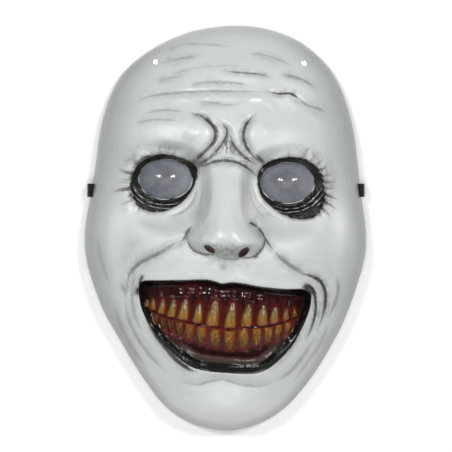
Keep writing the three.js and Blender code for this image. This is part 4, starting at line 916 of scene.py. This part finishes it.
# Fields the paint follows, all in millimetres apart from the shares
def paintFields(x, y):
    across, halfWidth, tone, washAndShade = strokeField(x, y)
    washAndShade = np.maximum(washAndShade, patchField(x, y, shadeAndGreyPatches))
    fields = {"strokeAcross": across, "strokeHalf": halfWidth, "strokeTone": tone, "washAndShade": washAndShade}
    fields["paintedLight"] = patchField(x, y, paintedLightPatches)
    fields["dull"] = np.maximum(region["washAndShadeDull"] * np.minimum(washAndShade, 1), patchField(x, y, dullPatches))
    fields["dust"] = patchField(x, y, dusts)

    black = np.full(x.shape, farOff)
    seat = np.full(x.shape, farOff)
    seatHighlightArc = np.zeros(x.shape)
    arc = np.zeros(x.shape)
    for eye in eyes.values():
        black = np.minimum(black, toOutline(x, y, throughPoints(eye["paint"], True, 6)))
        out, angle, v = aroundEye(x, y, eye)
        seat = np.minimum(seat, out)
        # Painted highlights: a light ring at each eye opening, strongest on its lower side, and where the
        # light lines along the ridges run
        near = out < eye["opening"][1]
        low = smoothStep(*region["seatHighlightLow"], v)
        seatHighlightArc = np.maximum(seatHighlightArc, near * (region["seatHighlightShare"] + (1 - region["seatHighlightShare"]) * low))
        arc = np.maximum(arc, near * ridgeArc(angle, eye, ridge["glintFade"]))
    fields.update({"socketEdge": black, "ridgeArc": arc, "seatHighlightArc": seatHighlightArc, "lensSeat": seat})

    # Painted shade: grey darkening the steep sides in from the rim, and a narrower darker band right at the
    # rim
    fromRim = np.maximum(0, radiusAt(rimLine, np.arctan2(y, x)) - np.hypot(x, y))
    reach = np.interp(y, rimShade["atY"], rimShade["reach"])
    crown = smoothStep(*rimShade["crownY"], y) * smoothStep(*rimShade["crownX"], np.abs(x))
    fields["rimShade"] = (1 - rimShade["crownLoss"] * crown) * np.clip(1 - fromRim / reach, 0, 1)
    ends = 1 - rimShade["endLoss"] * smoothStep(*rimShade["endY"], np.abs(y))
    fields["rimEdgeShade"] = smoothStep(rimShade["edge"], 0, fromRim) * ends

    nostril = np.full(x.shape, farOff)
    for at, size, turn, _ in nose["nostrils"]:
        u, v = turned(x, y, at, turn)
        wide, high = region["nostril"]
        nostril = np.minimum(nostril, (np.hypot(u / (size[0] * wide), v / (size[1] * high)) - 1) * size[1])
    fields["nostrilEdge"] = nostril

    wider = smoothStep(*region["widerX"], np.abs(x))
    wider = wider * smoothStep(*region["widerTop"], y) * smoothStep(*region["widerFoot"], y)
    fields["mouthEdge"] = toOutline(x, y, mouthLine) - region["wider"] * wider
    fields["biteSide"] = y - np.interp(x, biteLine[:, 0], biteLine[:, 1])
    upper = toTeeth(x, y, upperRow)
    lower = toTeeth(x, y, lowerRow)
    isUpper = upper[0] < lower[0]
    for i, name in enumerate(("toothEdge", "toothAlong", "toothAcross")):
        fields[name] = np.where(isUpper, upper[i], lower[i])
    dimUpper = region["dimUpper"] * smoothStep(*region["dimUpperX"], np.abs(x - region["dimMiddle"]))
    fields["toothDim"] = np.where(isUpper, dimUpper, smoothStep(*region["dimLowerX"], x))
    corner = smoothStep(*region["cornerX"], np.abs(x)) * smoothStep(*region["cornerY"], y)
    thin = region["thin"] * smoothStep(*region["thinX"], x) * smoothStep(*region["thinY"], y)
    fields["sideLip"] = corner - thin * (1 - corner)
    fields.update({"upperRow": isUpper, "faceHeight": y, "faceSide": x})
    return fields


face = makeShell()
facePoints = meshPoints(face) / mm
for name, values in paintFields(facePoints[:, 0], facePoints[:, 1]).items():
    storeField(face, name, values)
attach(face, "root")
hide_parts("mask_shell")
say("paint fields stored")

# Lenses: thin domes with a flat flange that lies behind the opening
lens = {
    "play": 0.4, "flange": 2.2, "thickness": 0.8, "rise": 6.4, "gap": 0.3, "round": 0.2, "around": 96,
    "rings": 26, "weld": 0.01, "smoothAngle": 40,
}


# Half section of a lens from the middle of its outside, over the flange, to the middle of its inside
def lensProfile(radius):
    ball = (radius ** 2 + lens["rise"] ** 2) / (2 * lens["rise"])
    inner = ball - lens["thickness"]
    outerReach = math.asin(radius / ball)
    innerReach = math.acos((ball - lens["rise"] - lens["thickness"]) / inner)
    rim, soft, under = radius + lens["flange"], lens["round"], -lens["thickness"]
    profile = []
    for angle in np.arange(lens["rings"] + 1) * outerReach / lens["rings"]:
        profile.append((ball * math.sin(angle), lens["rise"] - ball * (1 - math.cos(angle))))
    profile += [(rim - soft, 0), (rim, -soft), (rim, under + soft), (rim - soft, under)]
    for angle in np.arange(lens["rings"], -1, -1) * innerReach / lens["rings"]:
        profile.append((inner * math.sin(angle), lens["rise"] - ball + inner * math.cos(angle)))
    return profile


def spinProfile():
    bpy.ops.mesh.spin(steps=lens["around"], angle=2 * math.pi, center=(0, 0, 0), axis=(0, 0, 1))
    bpy.ops.mesh.select_all(action="SELECT")
    bpy.ops.mesh.remove_doubles(threshold=lens["weld"] * mm)
    faceOutwards()


def makeLens(side, eye):
    radius = eye["opening"][0] - lens["play"]
    squash = (eye["opening"][1] - lens["play"] + lens["flange"]) / (radius + lens["flange"])
    profile = lensProfile(radius)
    edges = [(i, i + 1) for i in range(len(profile) - 1)]
    piece = meshPiece("eyeLens" + side.capitalize(), [(r, 0, z) for r, z in profile], edges, [])
    editAll(piece, spinProfile)
    points = meshPoints(piece)
    storeField(piece, "lensRings", np.hypot(points[:, 0], points[:, 1]) / mm)
    storeField(piece, "lensSide", points[:, 0] / mm / radius)
    points[:, 1] *= squash
    points += np.array((*eye["at"], eye["floor"] - shell["wall"] - lens["gap"])) * mm
    movePoints(piece, points)
    smoothByAngle(piece, lens["smoothAngle"])
    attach(piece, "root")
    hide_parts("eye_lens_" + side)
    return piece


lenses = [makeLens(side, eye) for side, eye in eyes.items()]
say("lenses spun")


# Colour code as linear light
def linear(code):
    channels = []
    for i in (1, 3, 5):
        value = int(code[i:i + 2], 16) / 255
        channels.append(value / 12.92 if value <= 0.04045 else ((value + 0.055) / 1.055) ** 2.4)
    return (*channels, 1.0)


# The node tree, shader and place on the object of the material being made
painting = {}


# A link, a colour by name or code, or a plain value into a node's input
def feed(node, name, value):
    if isinstance(value, bpy.types.NodeSocket):
        painting["tree"].links.new(value, node.inputs[name])
    elif isinstance(value, str):
        node.inputs[name].default_value = linear(tones.get(value, value))
    else:
        node.inputs[name].default_value = value


def addNode(kind, settings, inputs):
    node = painting["tree"].nodes.new(kind)
    for name, value in settings.items():
        setattr(node, name, value)
    for name, value in inputs.items():
        feed(node, name, value)
    return node


def startMaterial(material):
    material.use_nodes = True
    painting["tree"] = material.node_tree
    painting["shader"] = material.node_tree.nodes["Principled BSDF"]
    painting["place"] = addNode("ShaderNodeTexCoord", {}, {}).outputs["Object"]


def setShader(inputs):
    for name, value in inputs.items():
        feed(painting["shader"], name, value)


def field(name):
    return addNode("ShaderNodeAttribute", {"attribute_name": name}, {}).outputs["Fac"]


def maths(operation, a, b=0.0):
    return addNode("ShaderNodeMath", {"operation": operation}, {0: a, 1: b}).outputs[0]


def plus(a, b):
    return maths("ADD", a, b)


def times(value, *others):
    for other in others:
        value = maths("MULTIPLY", value, other)
    return value


# 0 up to start and 1, or top, from end on
def step(value, start, end, top=1.0, kind="SMOOTHSTEP"):
    span = {"Value": value, "From Min": start, "From Max": end, "To Max": top}
    return addNode("ShaderNodeMapRange", {"interpolation_type": kind}, span).outputs["Result"]


def mix(share, a, b):
    return addNode("ShaderNodeMix", {"data_type": "RGBA"}, {0: share, 6: a, 7: b}).outputs[2]


def mixValue(share, a, b):
    return addNode("ShaderNodeMix", {}, {0: share, 2: a, 3: b}).outputs[0]


# Noise by the size of its grain in millimetres
def noise(size, detail=2.0, roughness=0.5, stretch=None, distortion=0.0):
    place = painting["place"]
    if stretch:
        place = addNode("ShaderNodeVectorMath", {"operation": "MULTIPLY"}, {0: place, 1: stretch}).outputs[0]
    grain = {"Scale": 1 / (size * mm), "Detail": detail, "Roughness": roughness, "Distortion": distortion}
    return addNode("ShaderNodeTexNoise", {}, {"Vector": place, **grain}).outputs["Fac"]


# Flecks where the noise lies between two values
def flecks(low, high, *grain):
    return step(noise(*grain), low, high)


# A distance made uneven, as by a hand
def shaken(value, size, reach, detail=2.0):
    return plus(value, times(maths("SUBTRACT", noise(size, detail), 0.5), reach))


def bump(height, strength, distance, under=None):
    inputs = {"Height": height, "Strength": strength, "Distance": distance * mm}
    if under:
        inputs["Normal"] = under
    return addNode("ShaderNodeBump", {}, inputs).outputs["Normal"]


# Lays colours over one another, each by its share
def layered(colour, *layers):
    for share, over in layers:
        colour = mix(share, colour, over)
    return colour


# Face paint: white PVC sheet with airbrushed and dry-brushed paint under a clear gloss, with painted shade at
# the rim, under the nose and inside the upper lip, and painted light and highlights
tones = {
    "white": "#cbcfce", "paintedLight": "#eef1f0", "cloud": "#b2b6b0", "washAndShade": "#71746d", "stroke": "#191c19",
    "rim": "#74787a", "halo": "#4c5048", "black": "#0e100e", "dust": "#45473f", "ridge": "#aeb2b0",
    "seat": "#a3a7a6", "nostril": "#1c0d0b", "nostrilRed": "#4a1a14", "mouthBlack": "#0b0b0a",
    "gum": "#421418", "gumDark": "#1e0a09", "gumLow": "#4e2727", "innerLip": "#443633", "blood": "#651510",
    "root": "#635a38", "enamel": "#8a6a33", "foot": "#9a5a22", "stain": "#7a2a0e", "gap": "#521811",
    "gapLow": "#5c2c2a", "lowRoot": "#5a4824", "lowEnamel": "#8a612a", "glint": "#bda25c", "whiteGlint": "#c4bcab",
    "shade": "#4f421c", "dim": "#3a1c14", "lowLip": "#1a1d1a",
}
paint = {
    "rimShadeShare": 0.7, "edgeShadeShare": 0.5, "washAndShadeShare": 0.75, "haloShare": 0.55, "ridgeGlintShare": 0.8,
    "roughness": 0.24, "wetRoughness": 0.14, "socketRoughness": 0.26, "dullRoughness": 0.3,
    "refraction": 1.52, "specular": 0.5, "lipSpecular": 0.3, "socketSpecular": 0.2, "wave": 14, "peel": 1.1,
}


def skinColour(socket, nostril):
    streaks = times(flecks(0.3, 0.7, 3, 4, 0.65, (1, 0.12, 1)), 0.12)
    washAndShade = times(field("washAndShade"), plus(times(flecks(0.3, 0.62, 4, 4, 0.65), 0.7), 0.3))
    halo = step(shaken(field("socketEdge"), 3, 3.0, 3), 2.4, -0.3)
    strokeSide = maths("ABSOLUTE", shaken(field("strokeAcross"), 2.2, 1.0, 3))
    past = maths("SUBTRACT", shaken(strokeSide, 0.8, 0.9, 3), field("strokeHalf"))
    dust = times(field("dust"), flecks(0.35, 0.62, 2.2, 4, 0.65))
    seat = field("lensSeat")
    # Painted highlights: thin light lines along the ridges below the lenses, where the black gloss would
    # catch the lamps
    phase = times(maths("SUBTRACT", shaken(seat, 5, 1.2), ridge["first"]), 2 * math.pi / ridge["apart"])
    lines = times(step(maths("COSINE", phase), 0.72, 0.98), field("ridgeArc"))
    lines = times(lines, flecks(0.36, 0.55, 3.4, 3, 0.6), times(step(seat, 1.2, 2.2), step(seat, 7.5, 6)))
    return layered(
        "white",
        (times(flecks(0.4, 0.75, 22, 3), 0.2), "cloud"),
        (times(flecks(0.5, 0.8, 6, 5, 0.6, (0.6, 1, 1)), 0.3), "cloud"),
        # Painted light: purer white over forms the lamps leave darker
        (times(field("paintedLight"), plus(times(noise(5, 4, 0.6), 0.5), 0.7)), "paintedLight"),
        # Painted shade: grey towards the rim, darker still at its edge
        (times(field("rimShade"), plus(streaks, paint["rimShadeShare"])), "rim"),
        (times(field("rimEdgeShade"), paint["edgeShadeShare"]), "rim"),
        # The mask's grey beside the painted lines, and painted shade under the nose
        (times(washAndShade, paint["washAndShadeShare"]), "washAndShade"),
        (times(halo, paint["haloShare"]), "halo"),
        (times(step(past, 0.35, -0.55), field("strokeTone"), flecks(0.22, 0.45, 3, 4, 0.7)), "stroke"),
        (socket, mix(dust, "black", "dust")),
        (times(lines, paint["ridgeGlintShare"]), "ridge"),
        # Painted highlight: the light ring at the edge of the eye opening
        (times(step(shaken(seat, 3, 0.5), 0.7, 0.4), flecks(0.38, 0.58, 6, 3), field("seatHighlightArc")), "seat"),
        (nostril, mix(flecks(0.45, 0.6, 1.6, 2), "nostril", "nostrilRed")),
    )


# Gums and the insides of the lips. low is the share of the lower lip.
def gumColour(toMouth, bite, toothEdge, low):
    upper = step(bite, -0.4, 0.4)
    highGum = mix(flecks(0.35, 0.7, 2.2, 3, 0.6, (1, 0.3, 0.3)), "gumDark", "gum")
    lowGum = mix(flecks(0.3, 0.7, 3.4, 3, 0.6, (1, 0.6, 0.6)), "gumDark", "gumLow")
    nearTeeth = times(step(toothEdge, 3.2, 0.4), flecks(0.3, 0.55, 3, 3, 0.6, (1, 0.5, 0.5)))
    underLipShadeShare = plus(0.75, times(maths("MINIMUM", field("sideLip"), 0), 0.8))
    uneven = shaken(toMouth, 3, 1.4)
    crease = times(step(uneven, -14.5, -12), step(uneven, -9.4, -11))
    band = step(plus(shaken(toMouth, 2.4, 1.2), times(field("sideLip"), 1.7)), -4.2, -2.4)
    nearBite = times(step(maths("ABSOLUTE", bite), 4, 0.8), flecks(0.4, 0.6, 2.4, 3), 0.7)
    return layered(
        mix(upper, lowGum, highGum),
        (times(nearTeeth, 0.85), mix(upper, "gapLow", "gap")),
        # Painted shade: the upper gum darker just inside the upper lip
        (times(step(shaken(toMouth, 4, 2), -8.5, -4.5), upper, underLipShadeShare), "gumDark"),
        (times(low, crease, 0.85), "gumDark"),
        (times(low, step(uneven, -10.6, -8.6)), "innerLip"),
        (times(low, step(shaken(toMouth, 3, 1.0), -7, -5.2)), "mouthBlack"),
        (band, mix(low, "mouthBlack", "lowLip")),
        (times(nearBite, step(maths("ABSOLUTE", field("mouthEdge")), 3, 9)), "blood"),
    )


def toothColour(bite, toothEdge):
    along = field("toothAlong")
    across = field("toothAcross")
    isUpper = field("upperRow")
    uneven = shaken(along, 2.5, 0.3)
    grain = noise(0.9, 3, 0.6, (1, 0.16, 0.16))
    highTooth = mix(step(uneven, 0.35, 0.9), "enamel", "root")
    highTooth = mix(times(step(uneven, 0.4, 0.0), 0.8), highTooth, "foot")
    lowTooth = mix(step(along, 0.4, 1.0), "lowEnamel", "lowRoot")
    # Painted highlight: pale streaks on the upper half of each upper tooth, where the gloss would catch the
    # lamps
    whiteGlint = times(step(along, 0.35, 0.8), flecks(0.5, 0.62, 0.8, 3, 0.6, (1, 0.25, 0.25)), isUpper)
    lowRed = times(maths("SUBTRACT", 1, isUpper), flecks(0.4, 0.64, 2.2, 3, 0.6))
    bitten = times(step(bite, -2.6, -0.4), flecks(0.42, 0.62, 1.8, 3, 0.6))
    return layered(
        mix(isUpper, lowTooth, highTooth),
        (times(step(grain, 0.5, 0.36), 0.6), "shade"),
        (times(step(grain, 0.56, 0.68), 0.6), "glint"),
        (times(whiteGlint, 0.8), "whiteGlint"),
        (times(step(shaken(across, 2, 0.7), 0.2, 0.95), 0.7), "stain"),
        (times(step(shaken(across, 2, 0.5), -0.25, -0.95), 0.55), "shade"),
        (times(lowRed, 0.45), "blood"),
        (times(field("toothDim"), 0.75), "dim"),
        (times(step(shaken(toothEdge, 1.5, 0.5), -1.1, 0.1), 0.8), "gap"),
        (times(bitten, times(step(bite, 0.3, -0.1), 0.85)), "blood"),
    )


def facePaint(material):
    startMaterial(material)
    socket = step(shaken(field("socketEdge"), 2.2, 1.6, 3), 0.4, -0.6)
    nostril = step(shaken(field("nostrilEdge"), 1.5, 0.4), 0.3, -0.3)
    toMouth = shaken(field("mouthEdge"), 1.6, 0.5)
    inside = step(toMouth, 0.2, -0.2)
    bite = field("biteSide")
    toothEdge = field("toothEdge")
    low = step(field("faceHeight"), -68, -77)
    isTooth = step(shaken(toothEdge, 1.2, 0.35), 0.45, -0.35)
    inMouth = mix(isTooth, gumColour(toMouth, bite, toothEdge, low), toothColour(bite, toothEdge))
    biteSeam = times(step(maths("ABSOLUTE", shaken(bite, 2, 0.7)), 0.8, 0.2), flecks(0.3, 0.6, 4, 2))
    inMouth = mix(biteSeam, inMouth, "gumDark")

    # Duller on the grey and painted-shade patches and nostrils, wetter in the mouth, even in the sockets
    rough = plus(times(noise(9, 3), 0.12), paint["roughness"])
    rough = plus(mixValue(inside, rough, paint["wetRoughness"]), times(nostril, paint["dullRoughness"]))
    rough = plus(rough, times(field("dull"), paint["dullRoughness"]))
    rough = plus(rough, times(low, step(toMouth, 0.4, -0.4), 0.1))
    lipSkin = times(low, inside, step(toMouth, -14, -9))
    leftSocket = times(socket, step(field("faceSide"), 10, -10))
    matt = plus(times(lipSkin, paint["lipSpecular"]), times(leftSocket, paint["socketSpecular"]))
    wave = bump(noise(paint["wave"], 2), 0.35, 0.6)
    setShader({
        "Base Color": mix(inside, skinColour(socket, nostril), inMouth),
        "Roughness": mixValue(socket, rough, paint["socketRoughness"]),
        "Specular IOR Level": maths("SUBTRACT", paint["specular"], matt),
        "IOR": paint["refraction"],
        "Normal": bump(noise(paint["peel"], 3), maths("SUBTRACT", 0.12, times(inside, 0.1)), 0.1, wave),
    })


# Bare inside: unpainted white PVC, satin where it lay on the mould
bare = {"white": "#dadcd8", "cloud": "#cfd1cc", "cloudSize": 30, "grain": 1.4, "roughness": 0.45}


def bareInside(material):
    startMaterial(material)
    setShader({
        "Base Color": mix(noise(bare["cloudSize"]), bare["white"], bare["cloud"]),
        "Roughness": bare["roughness"], "IOR": paint["refraction"],
        "Normal": bump(noise(bare["grain"], 3), 0.2, 0.2),
    })


# Smoked PET sheet: clear and polished, slightly milky, with the faint rings of its forming, a painted
# reflection in the middle and painted light towards one side
smoke = {
    "clear": "#82868f", "milk": "#9b9fa8", "middle": "#837d7f", "side": "#b7bac2", "milkSize": 7,
    "middleReflectionReach": (11, 3), "middleReflectionShare": 0.55, "sideLightReach": (0.1, 1), "sideLightShare": 0.6, "rings": 5.2,
    "roughness": 0.14, "refraction": 1.54, "transmission": 0.5,
}


def smokedLens(material):
    startMaterial(material)
    rings = field("lensRings")
    milk = step(noise(smoke["milkSize"], 4, 0.6, None, 0.6), 0.35, 0.65, kind="LINEAR")
    tint = mix(milk, smoke["clear"], smoke["milk"])
    # Painted reflection: a darker, browner middle under the glints
    tint = mix(step(rings, *smoke["middleReflectionReach"], smoke["middleReflectionShare"]), tint, smoke["middle"])
    # Painted light: lighter towards the right side of the lens
    tint = mix(step(field("lensSide"), *smoke["sideLightReach"], smoke["sideLightShare"]), tint, smoke["side"])
    setShader({
        "Base Color": tint, "Roughness": smoke["roughness"], "IOR": smoke["refraction"],
        "Transmission Weight": smoke["transmission"],
        "Normal": bump(maths("SINE", times(rings, smoke["rings"])), 0.05, 0.2),
    })


# Woven polyester elastic: matt black, cross ribs a millimetre apart
elastic = {"dark": "#070708", "light": "#17181a", "ribs": 20, "threads": 12, "roughness": 0.85, "sheen": 0.3}


def threadWave(direction, place, size, distortion):
    wave = {"Vector": place, "Scale": 1 / (size * mm), "Distortion": distortion, "Detail Scale": 400.0}
    return addNode("ShaderNodeTexWave", {"bands_direction": direction}, wave).outputs["Fac"]


def wovenElastic(material):
    startMaterial(material)
    flat = {"X": field("alongBand"), "Y": field("acrossBand")}
    place = addNode("ShaderNodeCombineXYZ", {}, flat).outputs[0]
    ribs = threadWave("X", place, elastic["ribs"], 0.4)
    weave = times(ribs, threadWave("Y", place, elastic["threads"], 0.3))
    setShader({
        "Base Color": mix(weave, elastic["dark"], elastic["light"]), "Roughness": elastic["roughness"],
        "Sheen Weight": elastic["sheen"], "Normal": bump(weave, 0.6, 0.3),
    })


def newMaterial(name, makeIt, pieces):
    material = bpy.data.materials.new(name)
    makeIt(material)
    for piece in pieces:
        piece.data.materials.append(material)


facePaint(face.data.materials[0])
bareInside(face.data.materials[1])
newMaterial("smokedLens", smokedLens, lenses)
newMaterial("wovenElastic", wovenElastic, strapPieces.values())
say("materials made")

# Stage: pale floor, a wide soft light over the camera, two small lights beside it and two below the holes
studio = {
    "floor": "#f6f7f7", "floorSize": 6, "floorRoughness": 0.9, "floorSpecular": 0.1, "roomStrength": 0.09,
    "lights": [((-0.74, 0.6, 1.9), 13, 0.24), ((0.74, 0.6, 1.9), 13, 0.24), ((0, -0.35, 2.7), 47, 1.6)],
    "under": [((-0.0443, 0.096, 0.012), 0.02, 0.008), ((0.0496, 0.095, 0.012), 0.02, 0.008)],
}


def paleFloor(material):
    startMaterial(material)
    setShader({
        "Base Color": studio["floor"], "Roughness": studio["floorRoughness"],
        "Specular IOR Level": studio["floorSpecular"],
    })


def addLight(at, power, size):
    bpy.ops.object.light_add(type="AREA", location=at)
    light = bpy.context.object
    light.data.energy = power
    light.data.size = size
    return light


def makeStage():
    bpy.ops.mesh.primitive_plane_add(size=studio["floorSize"], location=(0, 0, 0))
    floor = bpy.context.object
    floor.name = "floor"
    newMaterial("paleFloor", paleFloor, [floor])
    for at, power, size in studio["lights"]:
        light = addLight(at, power, size)
        light.visible_glossy = size < 1
        light.rotation_euler = (-Vector(at)).to_track_quat("-Z", "Y").to_euler()
    for at, power, size in studio["under"]:
        addLight(at, power, size)
    world = bpy.data.worlds.new("room")
    bpy.context.scene.world = world
    world.use_nodes = True
    background = world.node_tree.nodes["Background"]
    background.inputs["Color"].default_value = (1, 1, 1, 1)
    background.inputs["Strength"].default_value = studio["roomStrength"]
    bpy.context.scene.view_settings.view_transform = "Standard"


makeStage()
say("stage lit")
